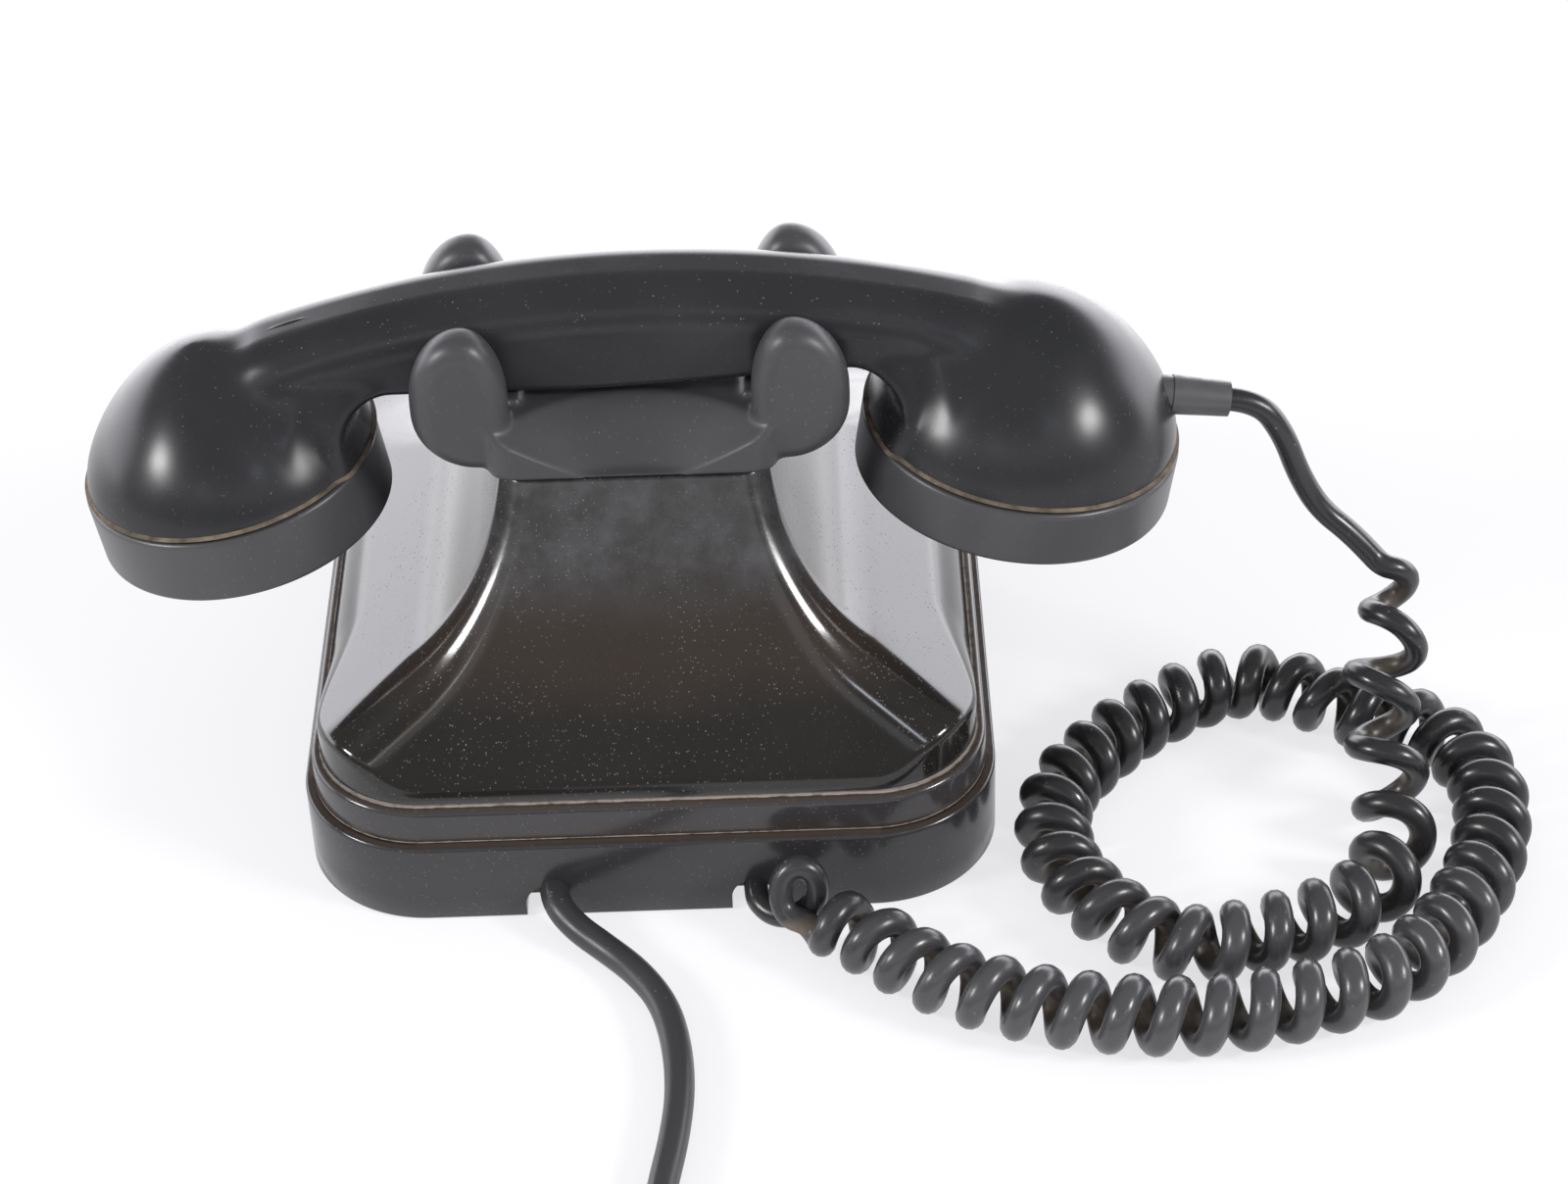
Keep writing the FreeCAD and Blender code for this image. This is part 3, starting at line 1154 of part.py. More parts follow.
coil_steps = [math.pi / 2 * number for number in range(int(round(whole_turn / (math.pi / 2))) + 1)]
coil_nodes = [coil_entry] + [coil_place(turned) for turned in coil_steps]
coil_headings = [V(0, 1, 0), V(0, 1, 0)]
for turned in coil_steps[1:-1]:
    coil_headings.append((coil_place(turned + 0.01) - coil_place(turned - 0.01)).normalize())
coil_headings.append(V(0, 1, 0))
coil_exit = coil_nodes[-1]
tail_start = coil_exit + V(0, line_diameter, 0)
coil_nodes.append(tail_start)
coil_headings.append(V(0, 1, 0))
coil_sides = 8
coil = swept_tube(biarc_path(coil_nodes, coil_headings), line_diameter / 2, coil_entry, V(0, 1, 0), coil_sides)
loops = [coil_place(whole_turn * k / 400) for k in range(401)]
coil_gap = min((loops[i] - loops[j]).Length for i in range(401) for j in range(i + 25, 401))
print("line_cord_coil         %.1f of cord, least gap to itself %.2f" % (
    biarc_path(coil_nodes, coil_headings).Length, coil_gap - line_diameter))
save("line_cord_coil", coil)
plug_length, plug_width, plug_height = 36.0, 24.0, 14.0
coil_top = coil_centre.z + coil_layer + line_diameter / 2
plug_rear = V(33.5, 265.0, coil_top + 0.1 + plug_height / 2)
tail_end_z = plug_rear.z - 2.6
tail_points = [tail_start, V(coil_exit.x, 246.0, coil_exit.z), V(7.0, 258.0, coil_exit.z + 3.6),
               V(19.3, plug_rear.y, tail_end_z), V(plug_rear.x, plug_rear.y, tail_end_z)]
save("line_tail", plain_cord(tail_points, line_diameter, "line_tail"))
plug = block(plug_rear.x, plug_rear.x + plug_length, plug_rear.y - plug_width / 2, plug_rear.y + plug_width / 2,
             plug_rear.z - plug_height / 2, plug_rear.z + plug_height / 2)
plug = plug.makeFillet(3.0, [edge for edge in plug.Edges if abs(edge.tangentAt(edge.FirstParameter).x) > 0.9])
save("line_plug", plug)
pin_length = 12.0
pin_spread_y, pin_spread_z = 7.5, 3.5
plug_pins = [Part.makeCylinder(1.6, pin_length, plug_rear + V(plug_length, dy, dz), V(1, 0, 0))
             for dy in (-pin_spread_y, pin_spread_y) for dz in (-pin_spread_z, pin_spread_z)]
save("plug_pins", Part.makeCompound(plug_pins))
for name, radius in least_radii:
    print("%-22s tightest radius %.1f" % (name, radius))
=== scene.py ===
import math

import bmesh
import bpy
import numpy as np
from mathutils import Matrix, Vector


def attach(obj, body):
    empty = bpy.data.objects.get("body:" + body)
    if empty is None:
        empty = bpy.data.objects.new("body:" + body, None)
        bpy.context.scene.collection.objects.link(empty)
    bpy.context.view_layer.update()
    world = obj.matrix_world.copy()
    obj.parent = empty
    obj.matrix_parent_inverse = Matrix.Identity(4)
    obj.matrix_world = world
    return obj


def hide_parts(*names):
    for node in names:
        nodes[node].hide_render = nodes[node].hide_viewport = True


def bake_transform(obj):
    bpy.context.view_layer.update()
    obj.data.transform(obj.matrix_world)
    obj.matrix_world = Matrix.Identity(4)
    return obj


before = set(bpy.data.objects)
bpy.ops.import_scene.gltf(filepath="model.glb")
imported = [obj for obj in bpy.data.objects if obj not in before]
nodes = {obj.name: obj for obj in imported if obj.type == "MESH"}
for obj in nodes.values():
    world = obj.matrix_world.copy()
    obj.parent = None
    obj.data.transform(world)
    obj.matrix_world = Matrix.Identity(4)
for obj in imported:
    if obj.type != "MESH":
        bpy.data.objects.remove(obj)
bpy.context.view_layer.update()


# The camera stands behind the telephone, a little right of the middle and about 0.87 m away. It
# looks down at 38 degrees through a lens of 88 mm, with a slight roll.
def new_piece(name, data):
    """An object that holds a mesh, a curve, a lamp or the camera, put into the scene."""
    piece = bpy.data.objects.new(name, data)
    bpy.context.scene.collection.objects.link(piece)
    return piece


azimuth, elevation, roll = math.radians(180.537), math.radians(37.886), math.radians(-2.262)
camera_place = Vector((-0.03643, 0.68664, 0.55701))
backward = Vector((math.sin(azimuth) * math.cos(elevation), -math.cos(azimuth) * math.cos(elevation),
                   math.sin(elevation)))
level = (-backward).cross(Vector((0, 0, 1))).normalized()
upward = backward.cross(level)
right = level * math.cos(roll) + upward * math.sin(roll)
top = upward * math.cos(roll) - level * math.sin(roll)
camera_data = bpy.data.cameras.new("camera")
camera_data.sensor_width = 36.0
camera_data.lens = 87.65
camera_data.clip_start = 0.01
camera = new_piece("camera", camera_data)
camera.matrix_world = Matrix((right, top, backward)).transposed().to_4x4()
camera.location = camera_place
bpy.context.scene.camera = camera
bpy.context.scene.view_settings.view_transform = "Standard"


# The floor: white paper. It shows as white to the camera and in reflections, where it brightens
# towards the far side as the paper's sweep does, and it keeps a part of the object's shadow.
def add_shader(tree, kind, **inputs):
    """One shader node, with its named sockets set from the keywords (spaces as underscores)."""
    node = tree.nodes.new(kind)
    for name, value in inputs.items():
        socket = node.inputs[name.replace("_", " ")]
        if hasattr(value, "links"):
            tree.links.new(value, socket)
        else:
            socket.default_value = value
    return node


def maths(tree, operation, *values):
    """One Math node on sockets or numbers."""
    node = tree.nodes.new("ShaderNodeMath")
    node.operation = operation
    for value, socket in zip(values, node.inputs):
        if hasattr(value, "links"):
            tree.links.new(value, socket)
        else:
            socket.default_value = value
    return node.outputs[0]


def soft_step(tree, value, low, high):
    """0 at low, 1 at high, smooth between."""
    node = tree.nodes.new("ShaderNodeMapRange")
    node.interpolation_type = "SMOOTHSTEP"
    tree.links.new(value, node.inputs["Value"])
    node.inputs["From Min"].default_value = low
    node.inputs["From Max"].default_value = high
    return node.outputs["Result"]


def object_axis(tree, axis):
    """One of the piece's own coordinates, X, Y or Z, in metres."""
    place = tree.nodes.new("ShaderNodeTexCoord")
    parts = tree.nodes.new("ShaderNodeSeparateXYZ")
    tree.links.new(place.outputs["Object"], parts.inputs[0])
    return parts.outputs[axis]


def mixed(tree, share, first, second, out_kind):
    """The output of a tree: two shaders mixed by a share."""
    both = tree.nodes.new("ShaderNodeMixShader")
    tree.links.new(share, both.inputs[0])
    tree.links.new(first.outputs[0], both.inputs[1])
    tree.links.new(second.outputs[0], both.inputs[2])
    out = tree.nodes.new(out_kind)
    tree.links.new(both.outputs[0], out.inputs["Surface"])


paper_reach, paper_height = 3.0, -0.0002
paper_share = 0.72
sweep_near, sweep_far, sweep_gain = -0.04, -0.42, 3.5
paper = bpy.data.materials.new("paper")
paper.use_nodes = True
tree = paper.node_tree
tree.nodes.clear()
sight = tree.nodes.new("ShaderNodeLightPath").outputs
sweep = soft_step(tree, object_axis(tree, "Y"), sweep_near, sweep_far)
sweep = maths(tree, "MULTIPLY", sweep, sight["Is Glossy Ray"])
matte = add_shader(tree, "ShaderNodeBsdfDiffuse", Color=(0.93, 0.93, 0.94, 1))
glow = add_shader(tree, "ShaderNodeEmission", Color=(0.972, 0.966, 1.0, 1),
                  Strength=maths(tree, "MULTIPLY_ADD", sweep, sweep_gain, 1.0))
seen = maths(tree, "MAXIMUM", maths(tree, "MAXIMUM", sight["Is Camera Ray"], sight["Is Glossy Ray"]),
             sight["Is Transmission Ray"])
mixed(tree, maths(tree, "MULTIPLY", seen, paper_share), matte, glow, "ShaderNodeOutputMaterial")
floor_mesh = bpy.data.meshes.new("floor")
floor_corners = [(x * paper_reach, y * paper_reach, paper_height)
                 for x, y in ((-1, -1), (1, -1), (1, 1), (-1, 1))]
floor_mesh.from_pydata(floor_corners, [], [(0, 1, 2, 3)])
floor_mesh.materials.append(paper)
floor = new_piece("floor", floor_mesh)


# The room as the gloss sees it: a bright paper sweep beyond the telephone, a dark room behind the
# camera with a band of pale light across it, and three small lights. Its directions are in
# degrees, 90 being straight behind. To all else it is plain white light.
world = bpy.data.worlds.new("studio")
bpy.context.scene.world = world
world.use_nodes = True
tree = world.node_tree
tree.nodes.clear()
looking = tree.nodes.new("ShaderNodeTexCoord")
parts = tree.nodes.new("ShaderNodeSeparateXYZ")
tree.links.new(looking.outputs["Generated"], parts.inputs[0])
in_degrees = 180 / math.pi
toward = maths(tree, "MULTIPLY", maths(tree, "ARCTAN2", parts.outputs["Y"], parts.outputs["X"]), in_degrees)
rise = maths(tree, "MULTIPLY", maths(tree, "ARCSINE", parts.outputs["Z"]), in_degrees)


def soft_panel(at, height, half_width, half_height, edge):
    """The share of a soft-edged panel around a direction and a height, all in degrees."""
    turned = maths(tree, "WRAP", maths(tree, "SUBTRACT", toward, at), 180.0, -180.0)
    across = soft_step(tree, maths(tree, "ABSOLUTE", turned), half_width + edge, half_width - edge)
    upright = maths(tree, "ABSOLUTE", maths(tree, "SUBTRACT", rise, height))
    return maths(tree, "MULTIPLY", across, soft_step(tree, upright, half_height + edge, half_height - edge))


dark_room, sky_strength = (0.27, 0.265, 0.26), 0.75
room = None
for colour, strength, panel in (
        ((0.97, 0.97, 1.03), 3.9, soft_panel(-44.0, -8.0, 40.5, 27.0, 5.0)),
        ((0.97, 0.97, 1.03), 4.6, soft_panel(-125.0, -8.0, 40.5, 27.0, 5.0)),
        ((1.0, 1.0, 1.05), 0.75, soft_panel(75.0, 27.0, 50.0, 5.0, 1.2)),
        ((0.9, 0.97, 1.1), 14.0, soft_panel(118.4, 40.6, 1.8, 2.6, 1.0)),
        ((0.9, 1.05, 1.0), 14.0, soft_panel(67.0, 29.5, 0.9, 1.3, 0.6)),
        ((1.1, 0.62, 0.25), 14.0, soft_panel(71.4, 30.8, 0.7, 0.8, 0.8))):
    layer = tree.nodes.new("ShaderNodeVectorMath")
    layer.operation = "MULTIPLY_ADD"
    layer.inputs[0].default_value = [channel * strength for channel in colour]
    tree.links.new(panel, layer.inputs[1])
    if room is None:
        layer.inputs[2].default_value = dark_room
    else:
        tree.links.new(room, layer.inputs[2])
    room = layer.outputs[0]
mirrored = add_shader(tree, "ShaderNodeBackground", Color=room, Strength=1.0)
sky = add_shader(tree, "ShaderNodeBackground", Color=(1.0, 1.0, 1.0, 1), Strength=sky_strength)
sight = tree.nodes.new("ShaderNodeLightPath").outputs
mixed(tree, sight["Is Glossy Ray"], sky, mirrored, "ShaderNodeOutputWorld")


# The lamps: two soft boxes behind the camera, left and right, that give the domes and the arrises
# their bright spots.
lamp_distance, lamp_size, lamp_power, lamp_aim = 1.5, 0.32, 13.0, 0.09


def soft_lamp(name, at, height):
    """An area lamp in a direction and a height in degrees, facing the telephone."""
    data = bpy.data.lights.new(name, "AREA")
    data.shape = "RECTANGLE"
    data.size, data.size_y = lamp_size, lamp_size * 0.8
    data.energy = lamp_power
    lamp = new_piece(name, data)
    out = lamp_distance * math.cos(math.radians(height))
    lamp.location = (out * math.cos(math.radians(at)), out * math.sin(math.radians(at)),
                     lamp_distance * math.sin(math.radians(height)) + lamp_aim)
    lamp.rotation_euler = (Vector((0, 0, lamp_aim)) - lamp.location).to_track_quat("-Z", "Y").to_euler()


soft_lamp("lamp left", 23.0, 27.0)
soft_lamp("lamp right", 153.0, 28.5)


# The plinth: a tray of black phenolic moulding, open below, with two arched notches for the cords
# in its rear wall. The looks keep the tray's own solid within a block whose foot and top edge are
# rounded, and dust lies on the ledge that the case leaves free.
def new_finish(name):
    """A material with its tree and its Principled shader."""
    material = bpy.data.materials.new(name)
    material.use_nodes = True
    return material, material.node_tree, material.node_tree.nodes["Principled BSDF"]


def placed(tree, stretch=(1, 1, 1), turn=(0, 0, 0)):
    """The piece's own coordinates in metres, turned and stretched."""
    place = tree.nodes.new("ShaderNodeTexCoord")
    mapping = tree.nodes.new("ShaderNodeMapping")
    mapping.inputs["Scale"].default_value = stretch
    mapping.inputs["Rotation"].default_value = turn
    tree.links.new(place.outputs["Object"], mapping.inputs["Vector"])
    return mapping.outputs[0]


def noise(tree, scale, detail=3.0, rough=0.55):
    """Fractal noise from 0 to 1 on the piece's own coordinates, with a size of about 1/scale metres."""
    node = tree.nodes.new("ShaderNodeTexNoise")
    node.inputs["Scale"].default_value = scale
    node.inputs["Detail"].default_value = detail
    node.inputs["Roughness"].default_value = rough
    tree.links.new(placed(tree), node.inputs["Vector"])
    return node.outputs["Fac"]


def ramp(tree, value, low, high, to_low=0.0, to_high=1.0):
    """The value carried from low..high to to_low..to_high, held at both ends."""
    node = tree.nodes.new("ShaderNodeMapRange")
    tree.links.new(value, node.inputs["Value"])
    node.inputs["From Min"].default_value = low
    node.inputs["From Max"].default_value = high
    node.inputs["To Min"].default_value = to_low
    node.inputs["To Max"].default_value = to_high
    return node.outputs["Result"]


def mix_colour(tree, share, first, second):
    """Two colours mixed by a share, each a socket or a plain colour."""
    node = tree.nodes.new("ShaderNodeMix")
    node.data_type = "RGBA"
    tree.links.new(share, node.inputs["Factor"])
    for value, socket in ((first, node.inputs[6]), (second, node.inputs[7])):
        if hasattr(value, "links"):
            tree.links.new(value, socket)
        else:
            socket.default_value = (*value, 1)
    return node.outputs[2]


def specks(tree, scale, size, share, stretch=(1, 1, 1), turn=(0, 0, 0)):
    """Specks of many sizes: 1 near the middle of about that share of the cells of a Voronoi pattern."""
    cells = tree.nodes.new("ShaderNodeTexVoronoi")
    cells.inputs["Scale"].default_value = scale
    tree.links.new(placed(tree, stretch, turn), cells.inputs["Vector"])
    parts = tree.nodes.new("ShaderNodeSeparateColor")
    tree.links.new(cells.outputs["Color"], parts.inputs[0])
    reach = maths(tree, "MULTIPLY", parts.outputs[1], size)
    near = maths(tree, "LESS_THAN", cells.outputs["Distance"], reach)
    return maths(tree, "MULTIPLY", near, maths(tree, "LESS_THAN", parts.outputs[0], share))


def laid_dust(tree):
    """How much dust the mesh's own attribute lays at a place, from 0 to 1."""
    laid = tree.nodes.new("ShaderNodeAttribute")
    laid.attribute_name = "dust"
    return laid.outputs["Fac"]


def moulding(name, colour, worn, gloss, speck_share, seam=False, dust_and_reflection_from=None, band=None, shine=0.5):
    """Moulded plastic under fine dust: specks and hairs in clusters, and a gloss that varies.

    The colour runs to worn and the roughness between the two of gloss with noise. seam lays brown
    to tan dust where the mesh's attribute says. Above a given height in metres a blotchy grey lies,
    partly dust and partly painted reflection of the pale room, with a brown cast below it, partly
    tint and partly painted reflection of a brown thing in the room; band is a height below which
    the colour is an even grey.
    """
    brown_tint_and_reflection, pale_dust_and_reflection, band_grey = (0.036, 0.026, 0.021), (0.066, 0.064, 0.068), (0.034, 0.033, 0.036)
    speck_grey, seam_brown, seam_tan = (0.17, 0.15, 0.13), (0.05, 0.034, 0.026), (0.34, 0.305, 0.27)
    material, tree, shader = new_finish(name)
    shader.inputs["Specular IOR Level"].default_value = shine
    base = mix_colour(tree, ramp(tree, noise(tree, 28.0, 4.0), 0.28, 0.80), colour, worn)
    roughness = ramp(tree, noise(tree, 60.0, 3.0), 0.22, 0.8, *gloss)
    # Painted reflection as well as dust: above the given height the colour turns a blotchy grey that is partly
    # dust and partly a painted reflection of the pale room, and below it a brown cast that is partly tint and
    # partly a painted reflection of a brown thing in the room.
    if dust_and_reflection_from:
        height = object_axis(tree, "Z")
        base = mix_colour(tree, soft_step(tree, height, band + 0.0017, band), base, band_grey)
        uneven = maths(tree, "MULTIPLY_ADD", noise(tree, 35.0, 4.0), 0.012, height)
        upper_dust_and_reflection = soft_step(tree, uneven, dust_and_reflection_from - 0.004, dust_and_reflection_from + 0.012)
        brown = maths(tree, "MULTIPLY", soft_step(tree, uneven, dust_and_reflection_from - 0.022, dust_and_reflection_from - 0.008),
                      maths(tree, "SUBTRACT", 1.0, upper_dust_and_reflection))
        blotches = ramp(tree, noise(tree, 120.0, 7.0, 0.7), 0.35, 0.75, 0.25, 1.0)
        base = mix_colour(tree, maths(tree, "MULTIPLY", brown, 0.6), base, brown_tint_and_reflection)
        base = mix_colour(tree, maths(tree, "MULTIPLY", upper_dust_and_reflection, blotches), base, pale_dust_and_reflection)
        roughness = maths(tree, "MULTIPLY_ADD", maths(tree, "MULTIPLY", upper_dust_and_reflection, blotches), 0.12, roughness)
    clusters = ramp(tree, noise(tree, 45.0, 3.0), 0.35, 0.65, 0.15, 1.0)
    fine = specks(tree, 1900.0, 0.36, speck_share)
    coarse = specks(tree, 560.0, 0.12, speck_share * 0.2)
    hairs = specks(tree, 330.0, 0.09, speck_share * 0.4, (1, 12, 1), (0.4, 0.9, 0.5))
    dusted = maths(tree, "MAXIMUM", maths(tree, "MAXIMUM", fine, coarse), hairs)
    dusted = maths(tree, "MULTIPLY", dusted, clusters)
    base = mix_colour(tree, maths(tree, "MULTIPLY", dusted, 0.8), base, speck_grey)
    if seam:
        uneven = ramp(tree, noise(tree, 500.0, 4.0), 0.3, 0.7, 0.6, 1.0)
        thick = maths(tree, "MULTIPLY", laid_dust(tree), uneven)
        dusted = maths(tree, "MAXIMUM", dusted, thick)
        base = mix_colour(tree, soft_step(tree, thick, 0.0, 0.35), base, seam_brown)
        base = mix_colour(tree, soft_step(tree, thick, 0.45, 0.8), base, seam_tan)
    tree.links.new(base, shader.inputs["Base Color"])
    tree.links.new(maths(tree, "MULTIPLY_ADD", dusted, 0.6, roughness), shader.inputs["Roughness"])
    return material


def coat(names, material):
    """Gives a CAD node or several one material."""
    for name in names:
        mesh = nodes[name].data
        mesh.materials.clear()
        mesh.materials.append(material)


def ease(value):
    """3 v^2 - 2 v^3, with v held between 0 and 1."""
    value = np.clip(value, 0, 1)
    return value * value * (3 - 2 * value)


plinth_half_x, plinth_half_y, plinth_corner = 75.0, 81.1, 27.3
ring_columns, ring_centre_y = 420, 20.0
ring_turns = np.linspace(0, 2 * math.pi, ring_columns, endpoint=False)


def plan_distance(x, y, inset):
    """Distance to the plinth's outline, a rectangle with round corners, moved in by the inset."""
    half_x, half_y, corner = plinth_half_x - inset, plinth_half_y - inset, plinth_corner - inset
    beyond_x, beyond_y = np.abs(x) - half_x + corner, np.abs(y) - half_y + corner
    return (np.hypot(np.maximum(beyond_x, 0), np.maximum(beyond_y, 0))
            + np.minimum(np.maximum(beyond_x, beyond_y), 0) - corner)


def last_inside(distance, shape):
    """How far each ray runs before it leaves a form, by steps of 1 mm and then by halving."""
    inside = np.full(shape, 1.0)
    for run in np.arange(1.0, 131.0):
        inside = np.where(distance(inside * 0 + run) < 0, run, inside)
    outside = inside + 1.0
    for _ in range(22):
        middle = (inside + outside) / 2
        within = distance(middle) < 0
        inside, outside = np.where(within, middle, inside), np.where(within, outside, middle)
    return inside


def outline_ring(inset, height):
    """The plan outline at one inset and height: where rays from the middle leave it."""
    cos, sin = np.cos(ring_turns), np.sin(ring_turns)

    def distance(run):
        return plan_distance(run * cos, ring_centre_y + run * sin, inset)

    run = last_inside(distance, ring_turns.shape)
    return np.stack([run * cos, ring_centre_y + run * sin, np.full(ring_columns, height)], axis=1)


def rounded_step(inset, height, radius, count=5):
    """Insets and heights of a quarter round from a wall's inset up to its top at that height."""
    return [(inset + radius - radius * math.cos(turn), height - radius + radius * math.sin(turn))
            for turn in np.linspace(0, math.pi / 2, count)]


def ring_surface(name, rings, kept=None, unit=0.001, sharp_degrees=40.0):
    """A surface through rings of places: each quad joins two neighbours of a ring to those of the next.

    kept picks the quads; without it a flat face closes each end. unit is that of the places, in
    metres, and edges that bend more than sharp_degrees stay crisp.
    """
    rows, count = rings.shape[:2]
    first = np.arange(rows - 1)[:, None] * count + np.arange(count)
    following = np.arange(rows - 1)[:, None] * count + (np.arange(count) + 1) % count
    quads = np.stack([first, following, following + count, first + count], axis=2)
    if kept is None:
        ends = [list(range(count))[::-1], list(range((rows - 1) * count, rows * count))]
        faces = quads.reshape(-1, 4).tolist() + ends
    else:
        faces = quads[kept].tolist()
    mesh = bpy.data.meshes.new(name)
    mesh.from_pydata((rings.reshape(-1, 3) * unit).tolist(), [], faces)
    mesh.polygons.foreach_set("use_smooth", [True] * len(mesh.polygons))
    if sharp_degrees:
        mesh.set_sharp_from_angle(angle=math.radians(sharp_degrees))
    return new_piece(name, mesh)


def merged_copy(node, name):
    """A free copy of a CAD node's mesh with its loose triangles joined."""
    mesh = nodes[node].data.copy()
    cleaner = bmesh.new()
    cleaner.from_mesh(mesh)
    bmesh.ops.remove_doubles(cleaner, verts=cleaner.verts, dist=2e-6)
    cleaner.to_mesh(mesh)
    cleaner.free()
    return new_piece(name, mesh)


def settle(piece, modifier):
    """Applies a modifier to a piece's mesh."""
    bpy.context.view_layer.update()
    shaped = bpy.data.meshes.new_from_object(piece.evaluated_get(bpy.context.evaluated_depsgraph_get()))
    piece.modifiers.remove(modifier)
    old = piece.data
    piece.data = shaped
    bpy.data.meshes.remove(old)


def solid_of(name, outline, low_y, high_y):
    """A prism along Y from an outline of x and z in millimetres."""
    count = len(outline)
    places = [(x, y, z) for y in (low_y, high_y) for x, z in outline]
    faces = [list(range(count))[::-1], list(range(count, 2 * count))]
    faces += [[turn, (turn + 1) % count, count + (turn + 1) % count, count + turn] for turn in range(count)]
    mesh = bpy.data.meshes.new(name)
    mesh.from_pydata((np.array(places) * 0.001).tolist(), [], faces)
    cleaner = bmesh.new()
    cleaner.from_mesh(mesh)
    bmesh.ops.recalc_face_normals(cleaner, faces=cleaner.faces)
    cleaner.to_mesh(mesh)
    cleaner.free()
    return new_piece(name, mesh)


def carve(piece, operation, tool):
    """Joins, cuts or crosses a piece with a tool, which is then removed."""
    cut = piece.modifiers.new("cut", "BOOLEAN")
    cut.operation = operation
    cut.object = tool
    cut.solver = "EXACT"
    settle(piece, cut)
    bpy.data.objects.remove(tool)


def arch(middle, half, height):
    """An outline of x and z for an arch open at its foot."""
    crown = [(middle + half * math.cos(turn), height - half + half * math.sin(turn))
             for turn in np.linspace(0, math.pi, 17).tolist()]
    return [(middle + half, -1.0)] + crown + [(middle - half, -1.0)]


def vertex_places(mesh):
    """The places of a mesh's vertices, in metres."""
    flat = np.empty(len(mesh.vertices) * 3)
    mesh.vertices.foreach_get("co", flat)
    return flat.reshape(-1, 3)


def lay_dust(piece, row_dust, count):
    """Writes how much dust each row of a piece's rings holds, for the finish to read."""
    values = np.repeat(np.array(row_dust, float), count)
    dust = piece.data.attributes.new("dust", "FLOAT", "POINT")
    dust.data.foreach_set("value", np.concatenate([values, np.zeros(len(dust.data) - len(values))]))


plinth_top, plinth_inset, plinth_edge = 19.72, 0.02, 1.1
plinth_steps = [(1.2, 0.02), (0.3, 0.12), (0.03, 0.6), (plinth_inset, 6.0), (plinth_inset, 12.0)]
plinth_steps += rounded_step(plinth_inset, plinth_top, plinth_edge, 6)
plinth_steps += [(inset, plinth_top) for inset in (1.35, 1.6, 2.4, 6.0)]
rings = np.stack([outline_ring(inset, height) for inset, height in plinth_steps])
plinth_skin = ring_surface("plinth_skin", rings)
tray_copy = merged_copy("base_tray", "tray copy")
wall_inner_y, wall_outer_y, filling_half, filling_top, tray_foot = 78.2, 81.08, 8, 14, 0.02
for notch_x in (21.0, -21.5):
    low_x, high_x = notch_x - filling_half, notch_x + filling_half
    filling = [(low_x, tray_foot), (high_x, tray_foot), (high_x, filling_top), (low_x, filling_top)]
    carve(tray_copy, "UNION", solid_of("filling", filling, wall_inner_y, wall_outer_y))
carve(plinth_skin, "INTERSECT", tray_copy)
notch_half, notch_height, notch_from_y, notch_to_y = 4.8, 8.3, 76, 84
for notch_x in (22.2, -21.9):
    outline = arch(notch_x, notch_half, notch_height)
    carve(plinth_skin, "DIFFERENCE", solid_of("notch", outline, notch_from_y, notch_to_y))
places = vertex_places(plinth_skin.data) * 1000
ledge = -plan_distance(places[:, 0], places[:, 1], 0.0)
lay_dust(plinth_skin, np.clip((places[:, 2] - 19.3) / 0.3, 0, 1) * (0.2 + 0.8 * ease((ledge - 0.8) / 0.6)), 1)
plinth_skin.data.polygons.foreach_set("use_smooth", [True] * len(plinth_skin.data.polygons))
plinth_skin.data.set_sharp_from_angle(angle=math.radians(32))
plinth_finish = moulding("plinth", (0.024, 0.024, 0.027), (0.032, 0.031, 0.032), (0.13, 0.24), 0.20, seam=True)
coat(["base_tray"], plinth_finish)
plinth_skin.data.materials.clear()
plinth_skin.data.materials.append(plinth_finish)
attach(plinth_skin, "base")
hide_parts("base_tray")


# The feet are soft rubber pads let into the tray's floor, and four plated steel screws, driven up
# from below, hold the case on the tray.
def plain(name, colour, roughness, metallic=0.0, vary=0.35, scale=90.0):
    """A finish for the small and inner pieces: its colour and gloss vary with handling and dirt."""
    material, tree, shader = new_finish(name)
    dull = [channel * (1 - vary) for channel in colour]
    tree.links.new(mix_colour(tree, ramp(tree, noise(tree, scale, 5.0), 0.35, 0.7), colour, dull),
                   shader.inputs["Base Color"])
    smooth, rough = roughness * 0.8, min(roughness * 1.35, 1.0)
    tree.links.new(ramp(tree, noise(tree, scale * 2.5, 4.0), 0.3, 0.7, smooth, rough),
                   shader.inputs["Roughness"])
    shader.inputs["Metallic"].default_value = metallic
    return material


rubber = plain("rubber", (0.02, 0.02, 0.022), 0.55)
steel = plain("steel", (0.5, 0.51, 0.52), 0.35, 1.0)
coat(["rubber_feet"], rubber)
coat(["case_screws"], steel)


# The hook switch stands on a chassis of plated steel sheet: a bracket, the lever that the cradle
# presses, and brass blades clamped in a block of laminated sheet.
brass = plain("brass", (0.6, 0.44, 0.18), 0.35, 1.0)
laminate = plain("laminate", (0.12, 0.06, 0.03), 0.6)
coat(["chassis", "hook_bracket", "hook_lever"], steel)
coat(["contact_block"], laminate)
coat(["contact_blades"], brass)


# The bell: two pressed gongs on posts, and a steel frame with two coils wound with copper wire
# that swing the clapper between them.
bell_metal = plain("bell metal", (0.5, 0.5, 0.46), 0.22, 1.0)
copper = plain("copper", (0.4, 0.16, 0.06), 0.4, 0.6)
coat(["gong_left", "gong_right"], bell_metal)
coat(["gong_posts", "ringer_frame", "clapper"], steel)
coat(["ringer_coils"], copper)


